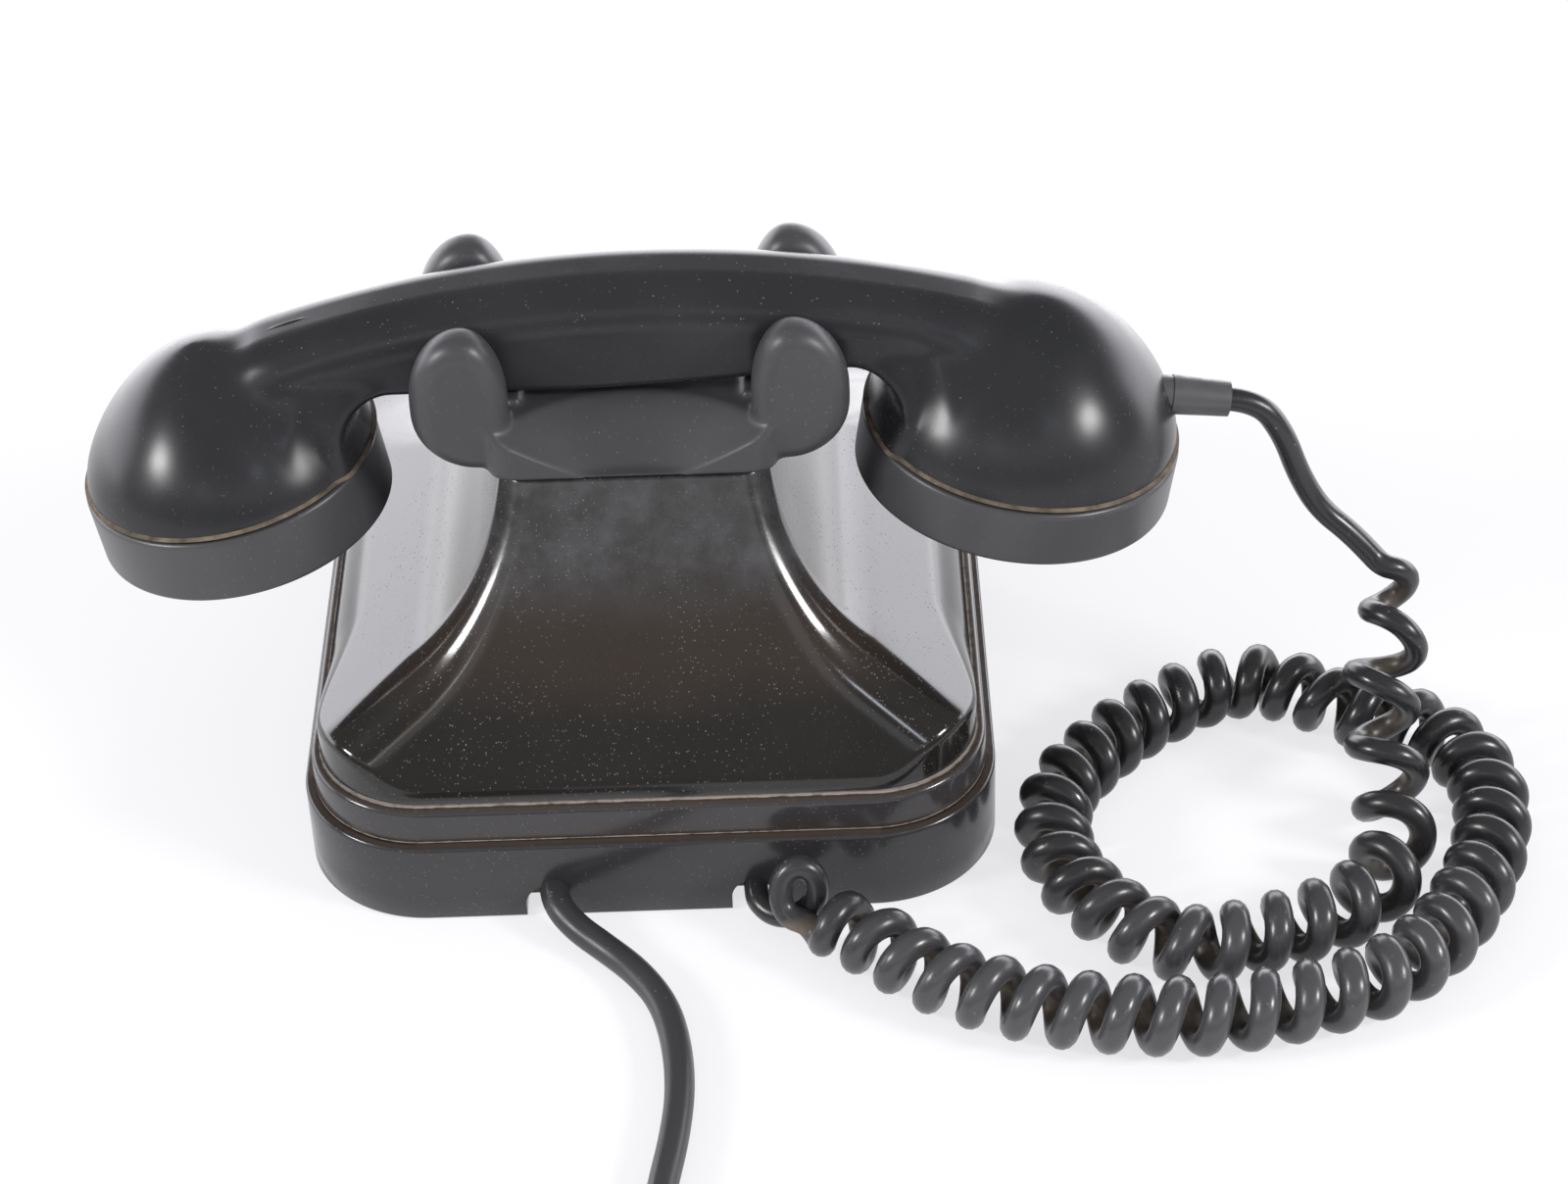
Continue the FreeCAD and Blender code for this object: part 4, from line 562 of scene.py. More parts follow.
# The circuit: a condenser in a painted can, the induction coil, the terminal block with its brass
# screws, and the two blocks behind the notches that clamp the cords.
can_grey = plain("can grey", (0.25, 0.26, 0.25), 0.5)
coat(["condenser"], can_grey)
coat(["induction_coil", "terminal_block", "cord_clamps"], laminate)
coat(["terminal_screws"], brass)


# The case: one moulding of polished phenolic plastic, screwed down on the tray. It is a skin from
# its foot over the band and the dust groove to the neck. Its flanks, rear slope and front sweep
# are distances joined with rounded corners, read along rays from inside.
# Above 70 mm the housing is painted a blotchy grey, partly dust and partly painted reflection of the pale
# room, with a brown cast below that is partly tint and partly painted reflection; below 28.8 mm it is an even
# grey.
housing = moulding("housing", (0.011, 0.0105, 0.010), (0.016, 0.014, 0.013), (0.09, 0.16), 0.30, seam=True,
                   dust_and_reflection_from=0.070, band=0.0288)
coat(["case"], housing)
case_rows = 150
flank_x, flank_z, flank_radius = 80.3, 94.4, 52.2
flank_foot_x, flank_foot_z, flank_foot_lean = 49.25, 52.44, math.radians(36.5)
rear_y, rear_lean = 44.0, 33.0 / 58.0
front_y, front_z, front_radius = -88.3, 128.2, 93.0
case_inset = 4.1
groove_top, neck_top, neck_wall = 29.0, 89.0, 3.2
neck_half_x, neck_half_y = 20.4, 15.4
band_inset, band_top, band_edge = 2.1, 28.2, 1.4


def rounded_corner(first, second, radius):
    """Distance to the corner of two half planes, rounded."""
    first, second = first + radius, second + radius
    return (np.hypot(np.maximum(first, 0), np.maximum(second, 0)) + np.minimum(np.maximum(first, second), 0)
            - radius)


def case_distance(x, y, z):
    """Distance to the upper case: the largest of the distances to its faces, each corner rounded.

    A flank is the outside of a cylinder, which runs into a plane at its foot; the rear is a plane
    and the front the outside of a cylinder. The arrises are 7 mm round above and 8.5 below, the
    lip 1 mm, and the foot 9 mm at the sides down to 1.1 at the front and rear.
    """
    flank = flank_radius - np.hypot(np.abs(x) - flank_x, z - flank_z)
    out, up = np.abs(x) - flank_foot_x, z - flank_foot_z
    flank = np.where(out * math.cos(flank_foot_lean) > up * math.sin(flank_foot_lean),
                     out * math.sin(flank_foot_lean) + up * math.cos(flank_foot_lean), flank)
    rear = (y - rear_y - rear_lean * (neck_top - z)) / math.hypot(1, rear_lean)
    front = front_radius - np.hypot(y - front_y, z - front_z)
    above = rounded_corner(flank, np.maximum(rear, front), 7.0 + 1.5 * ease((70 - z) / 25))
    above = rounded_corner(above, z - neck_top, 1.0)
    return rounded_corner(above, plan_distance(x, y, case_inset), 9.0 - 7.9 * ease((np.abs(y) - 25) / 32))


def case_rings():
    """The upper case from the groove to the neck's opening, its rows close together where it bends.

    In each upright plane of rays the profile is read at 900 angles, measured by its length plus 9
    times its turning, and read again at even steps of that measure.
    """
    cos, sin = np.cos(ring_turns)[:, None], np.sin(ring_turns)[:, None]
    opening = np.minimum(neck_half_x / np.maximum(np.abs(cos), 1e-9),
                         neck_half_y / np.maximum(np.abs(sin), 1e-9))
    rise = np.linspace(0, 1, 900)[None] * np.arctan2(neck_top - groove_top, opening)
    flat, up = np.cos(rise), np.sin(rise)

    def distance(run):
        return case_distance(run * flat * cos, ring_centre_y + run * flat * sin, groove_top + run * up)

    run = last_inside(distance, rise.shape)
    radial, height = run * flat, groove_top + run * up
    step_radial, step_height = np.diff(radial, axis=1), np.diff(height, axis=1)
    heading = np.unwrap(np.arctan2(step_height, step_radial), axis=1)
    turning = np.abs(np.diff(heading, axis=1, prepend=heading[:, :1]))
    measure = np.cumsum(np.hypot(step_radial, step_height) + 9.0 * np.minimum(turning, 0.05), axis=1)
    measure = np.concatenate([np.zeros((ring_columns, 1)), measure], axis=1)
    wanted = np.linspace(0, 1, case_rows)
    grid = np.array([[np.interp(wanted * track[-1], track, values[column]) for values in (radial, height)]
                     for column, track in enumerate(measure)])
    radial, height = grid[:, 0], grid[:, 1]
    return np.stack([radial * cos, ring_centre_y + radial * sin, height], axis=2).transpose(1, 0, 2)


upper = case_rings()
foot_steps = [(7.0, 19.86), (2.6, 19.86), (2.3, 19.9), (band_inset, 20.0), (band_inset, 20.2),
              (band_inset, 20.45)]
foot_steps += rounded_step(band_inset, band_top, band_edge)
foot_steps += [(case_inset, band_top), (4.4, band_top), (4.7, 28.25), (4.9, 28.45), (4.9, 28.9), (4.6, 28.98),
               (4.2, groove_top)]
foot_dust = [0, 1, 1, 1, 0.9, 0.2, 0, 0.08, 0.16, 0.25, 0.35, 1, 1, 1, 1, 1, 0.7, 0.3]
neck_inner = upper[-1] - (0, 0, neck_wall)
neck_wide = neck_inner.copy()
neck_wide[:, :2] = (neck_inner[:, :2] - (0, ring_centre_y)) * 1.1 + (0, ring_centre_y)
lower = [outline_ring(inset, height) for inset, height in foot_steps]
rings = np.stack(lower + list(upper) + [neck_inner, neck_wide])

# The skin is left open where the dial's collar stands, in millimetres from the dial's centre.
dial_lean, dial_hole, dial_hole_floor = math.radians(35.0), 38.4, -14
dial_centre = np.array((0.0, -41.0, 59.0))
dial_axis = np.array((0.0, -math.sin(dial_lean), math.cos(dial_lean)))
middles = (rings[:-1] + rings[1:] + np.roll(rings[:-1], -1, axis=1) + np.roll(rings[1:], -1, axis=1)) / 4
from_dial = middles - dial_centre
dial_height = from_dial @ dial_axis
dial_reach = np.linalg.norm(from_dial - dial_height[..., None] * dial_axis, axis=2)
case_skin = ring_surface("case_skin", rings, ~((dial_reach < dial_hole) & (dial_height > dial_hole_floor)))
lay_dust(case_skin, foot_dust, ring_columns)
case_skin.data.materials.append(housing)
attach(case_skin, "base")
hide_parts("case")


# The dial's collar: a ring of the case's own moulding, turned about the dial's axis, that stands
# round the finger wheel. Its outline is in radii and heights and ends where it began.
collar_columns = 180
collar_outline = np.array([
    (37.0, -11), (40, -11), (40, -1.5), (39.9, -0.9), (39.55, -0.4), (39.1, -0.1), (38.5, 0), (33.9, 0),
    (33.7, -0.1), (33.6, -0.3), (33.6, -9), (37.0, -9), (37.0, -11)])[:, None]
turn = np.linspace(0, 2 * math.pi, collar_columns, endpoint=False)[None, :, None]
sideways = np.cross(dial_axis, (1.0, 0.0, 0.0))
sideways /= np.linalg.norm(sideways)
radial = np.cos(turn) * sideways + np.sin(turn) * np.cross(dial_axis, sideways)
rings = dial_centre + collar_outline[..., :1] * radial + collar_outline[..., 1:] * dial_axis
collar = ring_surface("dial_collar", rings, np.ones((len(collar_outline) - 1, collar_columns), bool))
collar.data.materials.append(housing)
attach(collar, "base")


# The dial's movement: a frame, back plate, shaft and spring of steel, a brass gear and governor, a
# moulded bezel and a steel finger stop.
coat(["dial_bezel"], housing)
coat(["dial_frame", "dial_back_plate", "dial_shaft", "dial_spring", "finger_stop"], steel)
coat(["dial_gear", "governor"], brass)


# The finger wheel: a disc of polished sheet metal with ten holes, fixed on the dial's shaft. It was
# finished on a lathe, so its gloss runs in fine rings about the shaft.
def turned_metal(name, colour, smooth, rough):
    """Polished metal whose roughness follows rings about the dial's axis, as a lathe leaves them."""
    material, tree, shader = new_finish(name)
    shader.inputs["Metallic"].default_value = 1.0
    place = tree.nodes.new("ShaderNodeTexCoord")
    mapping = tree.nodes.new("ShaderNodeMapping")
    mapping.vector_type = "TEXTURE"
    mapping.inputs["Location"].default_value = (dial_centre * 0.001).tolist()
    mapping.inputs["Rotation"].default_value = (dial_lean, 0.0, 0.0)
    tree.links.new(place.outputs["Object"], mapping.inputs["Vector"])
    parts = tree.nodes.new("ShaderNodeSeparateXYZ")
    tree.links.new(mapping.outputs["Vector"], parts.inputs[0])
    squares = [maths(tree, "MULTIPLY", parts.outputs[axis], parts.outputs[axis]) for axis in "XY"]
    radius = maths(tree, "SQRT", maths(tree, "ADD", *squares))
    rings = tree.nodes.new("ShaderNodeTexNoise")
    rings.noise_dimensions = "1D"
    rings.inputs["Scale"].default_value = 2400.0
    rings.inputs["Detail"].default_value = 4.0
    tree.links.new(radius, rings.inputs["W"])
    tree.links.new(ramp(tree, rings.outputs["Fac"], 0.3, 0.7, smooth, rough), shader.inputs["Roughness"])
    tarnish = ramp(tree, noise(tree, 70.0, 5.0), 0.4, 0.75, 0.0, 0.5)
    tarnished = [channel * 0.7 for channel in colour]
    tree.links.new(mix_colour(tree, tarnish, colour, tarnished), shader.inputs["Base Color"])
    return material


wheel_metal = turned_metal("wheel metal", (0.62, 0.62, 0.64), 0.16, 0.30)
coat(["finger_wheel"], wheel_metal)


# The number plate is enamelled sheet, with the numbers 1 to 9 and 0 printed on it where the finger
# holes stand at rest. Each is a font's own outline, made a mesh and laid out about the dial.
enamel = plain("enamel", (0.8, 0.78, 0.7), 0.3)
coat(["number_plate"], enamel)
ink = plain("number print", (0.02, 0.02, 0.022), 0.4, 0.0, 0.3, 400.0)
number_size, ink_thickness, number_radius, number_height = 7.2, 0.02, 25.6, 1.48
first_angle, angle_step = 58.0, 27.5
dial_up = np.array((0.0, math.cos(dial_lean), math.sin(dial_lean)))
number_places, number_faces = [], []
for count, figure in enumerate("1234567890"):
    lettering = bpy.data.curves.new("figure", "FONT")
    lettering.body = figure
    lettering.size = number_size
    lettering.extrude = ink_thickness
    lettering.resolution_u = 6
    shape = new_piece("figure", lettering)
    bpy.context.view_layer.update()
    mesh = bpy.data.meshes.new_from_object(shape)
    flat = vertex_places(mesh)
    flat[:, :2] -= (flat[:, :2].min(axis=0) + flat[:, :2].max(axis=0)) / 2
    at = math.radians(first_angle + angle_step * count)
    offset = np.array((number_radius * math.cos(at), number_radius * math.sin(at), number_height))
    first = sum(len(run) for run in number_places)
    number_faces += [[corner + first for corner in face.vertices] for face in mesh.polygons]
    number_places.append(flat + offset)
    bpy.data.objects.remove(shape)
    bpy.data.curves.remove(lettering)
    bpy.data.meshes.remove(mesh)
flat = np.concatenate(number_places)
flat = dial_centre + flat[:, :1] * (1.0, 0.0, 0.0) + flat[:, 1:2] * dial_up + flat[:, 2:] * dial_axis
number_mesh = bpy.data.meshes.new("dial_numbers")
number_mesh.from_pydata((flat * 0.001).tolist(), [], number_faces)
numbers = new_piece("dial_numbers", number_mesh)
cleaner = bmesh.new()
cleaner.from_mesh(number_mesh)
bmesh.ops.remove_doubles(cleaner, verts=cleaner.verts, dist=1e-6)
bmesh.ops.recalc_face_normals(cleaner, faces=cleaner.faces)
cleaner.to_mesh(number_mesh)
cleaner.free()
numbers.data.materials.append(ink)
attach(numbers, "base")


# The cradle: a matt moulding with four horns, on two round stems with return springs. The solid's
# copy gets the foot of each finger scoop made straight, and is then softened all over, as the
# moulding is.
cradle_finish = moulding("cradle", (0.042, 0.042, 0.047), (0.052, 0.052, 0.056), (0.36, 0.46), 0.10)
coat(["cradle"], cradle_finish)
coat(["cradle_stems", "cradle_springs"], steel)
scoop_half, scoop_low, scoop_high = 13, 89.55, 90.1
scoop_foot = [(-scoop_half, scoop_low), (scoop_half, scoop_low),
              (scoop_half, scoop_high), (-scoop_half, scoop_high)]
cradle_skin = merged_copy("cradle", "cradle_skin")
for low_y, high_y in ((40.0, 45.55), (-5.55, 0.0)):
    carve(cradle_skin, "UNION", solid_of("scoop foot", scoop_foot, low_y, high_y))
even = cradle_skin.modifiers.new("even", "REMESH")
even.mode = "VOXEL"
even.voxel_size = 0.0005
settle(cradle_skin, even)
soften = cradle_skin.modifiers.new("soften", "SMOOTH")
soften.factor = 0.5
soften.iterations = 24
settle(cradle_skin, soften)
cradle_skin.data.polygons.foreach_set("use_smooth", [True] * len(cradle_skin.data.polygons))
cradle_skin.data.materials.clear()
cradle_skin.data.materials.append(cradle_finish)
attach(cradle_skin, "cradle")
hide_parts("cradle")


# The handset: one moulding of an arched handle and two domes, in millimetres until it is made. It
# is read along rays in planes that stand across the handle, fan out about each inner bend, and
# then sink to the rim of the dome. The handle's lower edges are crisp, and its flanks run softly
# into the domes.
handset_finish = moulding("handset", (0.017, 0.0175, 0.020), (0.026, 0.026, 0.029), (0.22, 0.33), 0.10,
                          shine=0.30)
coat(["handset_body"], handset_finish)
ear, mouth = 1, -1
middle_y = 20.0
cap_tilt = math.radians(8.8)
fan_turn = math.pi / 2 + cap_tilt
handle_half, bend, handle_low = 12.3, 8.0, 102.3
handle_upper_edge, handle_lower_edge = 9.8, 2.2
arch_centre, arch_radius = np.array((-3.5, -116.1)), 242.0
fan_planes, sunk_planes, arch_planes = 96, 14, 72
spine_height = 20
ends = {
    ear: {"rim": (87.4, 81.15), "radius": 31.1, "height": 28.0, "power": 1.5, "pivot": (50.1, 94.3),
          "spread": 10.0, "flare": 0.3, "cap_radius": 32.1, "cap_height": 15.3},
    mouth: {"rim": (-82.4, 82.9), "radius": 33.3, "height": 30.5, "power": 1.66, "pivot": (-45.7, 97.3),
            "spread": 13.0, "flare": 2.2, "cap_radius": 34.3, "cap_height": 13.3}}


def soft_min(first, second, reach):
    """The smaller of two distances, with a fillet of about that reach where they are alike."""
    near = np.maximum(reach - np.abs(first - second), 0) / reach
    return np.minimum(first, second) - near * near * reach / 4


def cap_axis(side):
    """The centre of a cap's upper rim and the direction up into its dome."""
    rim_x, rim_z = ends[side]["rim"]
    return np.array((rim_x, middle_y, rim_z)), np.array((side * math.sin(cap_tilt), 0.0, math.cos(cap_tilt)))


def handle_distance(across, outward, plane):
    """Distance to the handle's outline in a plane: round above, crisp below, its flanks an S."""
    inner, outer, wide = plane["inner"], plane["outer"], plane["wide"]
    level = np.clip((outward - inner) / (outer - handle_upper_edge - inner), 0, 1)
    half = handle_half + (wide - handle_half) * (1 - ease(level))
    face = inner - plane["hollow"] * (1 - np.clip(np.abs(across) / wide, 0, 1) ** 2)
    upper = rounded_corner(np.abs(across) - half, outward - outer, handle_upper_edge)
    lower = rounded_corner(np.abs(across) - half, face - outward, handle_lower_edge)
    return np.where(outward > (inner + outer) / 2, upper, lower)


def dome_distance(places, side):
    """Distance to the dome (r / radius)^power + (h / height)^power = 1 above its rim."""
    end = ends[side]
    power = end["power"]
    centre, axis = cap_axis(side)
    offset = places - centre - 0.9 * axis
    height = offset @ axis
    radial = np.linalg.norm(offset - height[..., None] * axis, axis=-1)
    above = np.maximum(height, 0)
    level = ((radial / end["radius"]) ** power + (above / end["height"]) ** power) ** (1 / power)
    return np.maximum(np.hypot(radial, above) * (1 - 1 / np.maximum(level, 0.001)), -0.5 - height)


def handset_planes():
    """The planes from rim to rim: a base line, an outward direction and the handle's sizes in each.

    A fan plane stands at the bend's pivot and turns with even steps; a sunk plane keeps the last
    direction and moves down to the rim; the arch planes between the pivots stand upright.
    """
    runs = []
    for side in (mouth, ear):
        end = ends[side]
        pivot, rim = np.array(end["pivot"]), np.array(end["rim"])
        turned = np.linspace(0, fan_turn, fan_planes)
        past = turned / fan_turn
        outward = np.stack([side * np.sin(turned), np.cos(turned)], axis=1)
        offset = pivot - arch_centre
        along_out = outward @ offset
        reach = np.sqrt(along_out ** 2 + arch_radius ** 2 - offset @ offset) - along_out
        hollow = 4 * past ** 1.5
        dome_out = (rim - pivot) @ outward[-1]
        fan = {"base": np.repeat(pivot[None], fan_planes, axis=0), "out": outward,
               "inner": bend + 0.9 * hollow, "hollow": hollow, "outer": soft_min(reach, 38.0, 6.0),
               "wide": handle_half + end["spread"] / 2 * past ** 1.5,
               "spine": spine_height + (dome_out - spine_height) * ease(past),
               "side": np.full(fan_planes, side)}
        down = np.linspace(0, 1, sunk_planes + 1)[1:]
        up = np.array((side * math.sin(cap_tilt), math.cos(cap_tilt)))
        drop = (pivot - rim) @ up - 0.9
        sunk = {"base": pivot - up * (down * drop)[:, None],
                "out": np.repeat(outward[-1:], sunk_planes, axis=0),
                "inner": 11.6 + (0.4 - end["flare"]) * ease(down), "hollow": 4 + 0.4 * ease(down),
                "outer": np.full(sunk_planes, fan["outer"][-1]),
                "wide": handle_half + end["spread"] / 2 + 0.75 * down,
                "spine": np.full(sunk_planes, dome_out), "side": np.full(sunk_planes, side)}
        run = {key: np.concatenate([fan[key], sunk[key]]) for key in fan}
        if side == mouth:
            runs.append({key: values[::-1] for key, values in run.items()})
            x = np.linspace(pivot[0], ends[ear]["pivot"][0], arch_planes)[1:-1]
            under = handle_low + 3 * np.clip((9.4 - x) / 55.1, 0, 1) ** 1.25
            over = arch_centre[1] + np.sqrt(arch_radius ** 2 - (x - arch_centre[0]) ** 2)
            level = np.ones(len(x))
            runs.append({"base": np.stack([x, under - bend], axis=1), "out": np.stack([0 * x, level], axis=1),
                         "inner": bend * level, "hollow": 0 * x, "outer": over - under + bend,
                         "wide": handle_half * level, "spine": spine_height * level,
                         "side": np.where(x > 2, ear, mouth)})
        else:
            runs.append(run)
    return {key: np.concatenate([run[key] for run in runs]) for key in runs[0]}


def half_ring(corner):
    """Angles from straight down to straight up in each plane, close together at the lower edge."""
    low, high = np.linspace(0, 1, 33)[:-1], np.linspace(0, 1, 73)
    low = 0.45 * low + 0.55 * (1 - (1 - low) ** 2)
    high = 0.4 * high + 0.6 * high * high
    quarter = math.pi / 2
    return np.concatenate([-quarter + (corner + quarter) * low, corner + (quarter - corner) * high], axis=1)


def handset_rings():
    """A ring of places in each plane: where rays from inside last leave the handle and the domes.

    The fillet between handle and dome grows from 1.5 mm at the lower edge to 10 mm up the flank,
    and shrinks to 3.5 mm over the top.
    """
    plane = {key: values[:, None] for key, values in handset_planes().items()}
    base, out = plane["base"][:, 0], plane["out"][:, 0]
    half = half_ring(np.arctan2(plane["inner"] + 0.7 - plane["spine"], plane["wide"] - 0.6))
    angles = np.concatenate([half, math.pi - half[:, -2:0:-1]], axis=1)
    base = np.stack([base[:, 0], np.full(len(base), middle_y), base[:, 1]], axis=1)[:, None]
    out = np.stack([out[:, 0], np.zeros(len(out)), out[:, 1]], axis=1)[:, None]

    def reached(run):
        across, outward = run * np.cos(angles), plane["spine"] + run * np.sin(angles)
        places = base + outward[..., None] * out
        places[..., 1] += across
        blend = 1.5 + 8.5 * ease((outward - plane["inner"] - 1) / 11)
        blend += (3.5 - blend) * ease((outward - 20) / 14)
        domes = np.where(plane["side"] == ear, dome_distance(places, ear), dome_distance(places, mouth))
        return soft_min(handle_distance(across, outward, plane), domes, blend), places

    inside = np.full(angles.shape, 0.5)
    for run in np.linspace(0.5, 80, 160):
        inside = np.where(reached(np.full(angles.shape, run))[0] < 0, run, inside)
    outside = inside + 0.5
    for _ in range(22):
        middle = (inside + outside) / 2
        within = reached(middle)[0] < 0
        inside, outside = np.where(within, middle, inside), np.where(within, outside, middle)
    return reached(inside)[1], angles


def rim_rays(side, angles):
    """Directions that stand out from a cap's axis, at angles from the handle's flank."""
    out = np.array((side * math.cos(cap_tilt), 0.0, -math.sin(cap_tilt)))
    return np.cos(angles)[:, None] * np.array((0.0, 1.0, 0.0)) + np.sin(angles)[:, None] * out


def rim_rows(side, outline, angles):
    """The rows that close a dome below its rim: its edge, the spigot for the cap and the hollow."""
    end = ends[side]
    centre, axis = cap_axis(side)
    rays = rim_rays(side, angles)
    foot = centre - end["cap_height"] * axis
    spigot, hollow, hollow_top = end["cap_radius"] - 3.5, 26.8, end["cap_height"] + 1.9
    rows = [outline - 0.4 * rays - 0.25 * axis]
    for radius, height in ((spigot, end["cap_height"] + 0.65), (spigot, 7.0), (hollow, 7.0),
                           (hollow, hollow_top), (0.4, hollow_top)):
        rows.append(foot + height * axis + radius * rays)
    return np.stack(rows)


rings, handset_turns = handset_rings()
rims = {mouth: (rings[0], handset_turns[0]), ear: (rings[-1], handset_turns[-1])}
rings = np.concatenate([rim_rows(mouth, *rims[mouth])[::-1], rings, rim_rows(ear, *rims[ear])])
handset_shell = ring_surface("handset_shell", rings)
handset_shell.data.materials.append(handset_finish)
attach(handset_shell, "handset")
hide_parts("handset_body")


# The caps are screwed over the capsules, and the capsules press on brass studs in the domes. The
# cord leaves the handset through a soft rubber boot.
cap_finish = moulding("cap", (0.046, 0.045, 0.050), (0.058, 0.056, 0.060), (0.30, 0.42), 0.10)
capsule_metal = plain("capsule metal", (0.6, 0.6, 0.6), 0.4, 1.0)
boot_rubber = plain("boot rubber", (0.085, 0.085, 0.090), 0.36, 0.0, 0.2, 160.0)
coat(["ear_cap", "mouth_cap"], cap_finish)
coat(["receiver_capsule", "transmitter_capsule"], capsule_metal)
coat(["capsule_contacts"], brass)
coat(["handset_boot"], boot_rubber)


# The dust under the domes: a thin bead where each one stands on its cap, from places along the
# rim's rays and up its axis.
grey_dust = plain("grey dust", (0.17, 0.13, 0.09), 0.9, 0.0, 0.75, 260.0)
for side, name in ((mouth, "dust_mouth"), (ear, "dust_ear")):
    outline, turns = rims[side]
    rays, axis = rim_rays(side, turns), cap_axis(side)[1]
    bead = np.stack([outline + out * rays + up * axis
                     for out, up in ((-0.15, 0.45), (0.18, 0.16), (0.5, -0.08), (0.75, -0.2))])
    bead = ring_surface(name, bead, np.ones((3, len(turns)), bool))
    bead.data.materials.append(grey_dust)
    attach(bead, "handset")


# The curly cord: one rubber-covered cord from the handset's boot to the right-hand notch. A short
# wavy lead hangs from the boot, then the cord is wound into curls that lie in a double loop.
def smooth_curve(name, points, resolution):
    """The NURBS curve of order 3 that has the given points as its controls."""
    curve = bpy.data.curves.new(name, "CURVE")
    curve.dimensions = "3D"
    spline = curve.splines.new("NURBS")
    spline.points.add(len(points) - 1)
    for control, point in zip(spline.points, points):
        control.co = (*point, 1)
    spline.order_u = 3
    spline.use_endpoint_u = True
    spline.resolution_u = resolution
    return curve


def smooth_line(name, points):
    """Places close together on the smooth curve of a route, and how far along it each one lies."""
    curve = smooth_curve(name, points, 24)
    line = new_piece(name, curve)
    bpy.context.view_layer.update()
    mesh = bpy.data.meshes.new_from_object(line)
    places = vertex_places(mesh)
    bpy.data.objects.remove(line)
    bpy.data.curves.remove(curve)
    bpy.data.meshes.remove(mesh)
    return places, np.concatenate([[0], np.cumsum(np.linalg.norm(np.diff(places, axis=0), axis=1))])


def along(places, run, distance):
    """Places at the distances given along a line."""
    return np.stack([np.interp(distance, run, places[:, axis]) for axis in range(3)], axis=1)


def carried_sides(places):
    """Two side directions at each place of a line, carried along it without twisting."""
    headings = np.gradient(places, axis=0)
    headings /= np.linalg.norm(headings, axis=1)[:, None]
    sides = np.zeros_like(places)
    side = np.cross(headings[0], (0.0, 0.0, 1.0))
    for number, heading in enumerate(headings):
        side = side - heading * side.dot(heading)
        side /= np.linalg.norm(side)
        sides[number] = side
    return sides, np.cross(headings, sides)


def tube(name, places, radii, count):
    """A closed tube: each place of a line plus its radius times a circle in the two side directions."""
    sides, others = carried_sides(places)
    turn = np.linspace(0, 2 * np.pi, count, endpoint=False)[None, :, None]
    circles = np.cos(turn) * sides[:, None] + np.sin(turn) * others[:, None]
    return ring_surface(name, places[:, None] + radii[:, None, None] * circles, unit=1.0, sharp_degrees=None)


# Sizes in metres along the route: the plain ends, the run over which the curls grow, where the
# hanging curls have ended, and where the lead is thinner.
cord_radius, cord_sides, thinner = 0.0031, 14, 0.0005
curl_radius, curl_count = 0.0054, 51
lead_length, notch_length, growth = 0.052, 0.046, 0.016
hanging_length, lead_thin, notch_thin = 0.155, 0.13, 0.06
lie, notch_z = 0.0086, 0.00645
boot_tip = (-0.12659, 0.02, 0.0864)
cord_route = [
    boot_tip, (-0.1331, 0.02, 0.0855), (-0.1386, 0.021, 0.0776), (-0.1422, 0.022, 0.0675),
    (-0.147, 0.0233, 0.059), (-0.154, 0.025, 0.0532), (-0.1602, 0.027, 0.0465),
    (-0.1639, 0.0282, 0.0425), (-0.1646, 0.0324, 0.0362), (-0.1608, 0.04, 0.031),
    (-0.1586, 0.049, 0.0246), (-0.1595, 0.058, 0.0165), (-0.1602, 0.068, 0.01), (-0.1588, 0.08, lie),
    (-0.1525, 0.092, lie), (-0.141, 0.0993, lie), (-0.128, 0.1035, lie), (-0.115, 0.107, lie),
    (-0.1035, 0.1025, lie), (-0.0945, 0.0925, lie), (-0.088, 0.082, lie), (-0.0862, 0.069, lie),
    (-0.0885, 0.056, lie), (-0.0965, 0.045, lie), (-0.1055, 0.035, lie), (-0.1175, 0.026, lie),
    (-0.131, 0.0192, lie), (-0.144, 0.0225, lie), (-0.1545, 0.0315, lie), (-0.166, 0.035, lie),
    (-0.176, 0.0435, lie), (-0.182, 0.056, lie), (-0.1815, 0.07, lie), (-0.178, 0.083, lie),
    (-0.172, 0.095, lie), (-0.165, 0.106, lie), (-0.154, 0.1165, lie), (-0.1405, 0.122, lie),
    (-0.127, 0.1254, lie), (-0.113, 0.1273, lie), (-0.099, 0.1262, lie), (-0.0855, 0.124, lie),
    (-0.072, 0.1195, lie), (-0.0595, 0.113, lie), (-0.051, 0.1055, lie), (-0.0445, 0.0995, 0.009),
    (-0.0385, 0.0975, 0.009), (-0.0325, 0.0955, 0.0074), (-0.0278, 0.0925, 0.0095), (-0.0275, 0.0895, 0.0155),
    (-0.0312, 0.0885, 0.0192), (-0.0352, 0.0888, 0.0165), (-0.0355, 0.0898, 0.0105), (-0.032, 0.0902, 0.0062),
    (-0.0265, 0.089, 0.0048), (-0.0228, 0.0855, 0.0056), (-0.0222, 0.0812, notch_z),
    (-0.0222, 0.077, notch_z)]
route_places, route_run = smooth_line("cord route", cord_route)
route_length = route_run[-1]
steps = np.linspace(0, route_length, 3300)
centres = along(route_places, route_run, steps)
sides, others = carried_sides(centres)
wind_from, wind_to = lead_length, route_length - notch_length
swell = ease(np.minimum(steps - wind_from, wind_to - steps) / growth)
hanging = np.clip((hanging_length - steps) / 0.03, 0, 1)
rate = np.where((steps > wind_from) & (steps < wind_to), (0.5 + 0.5 * swell) * (1 - 0.36 * hanging), 0)
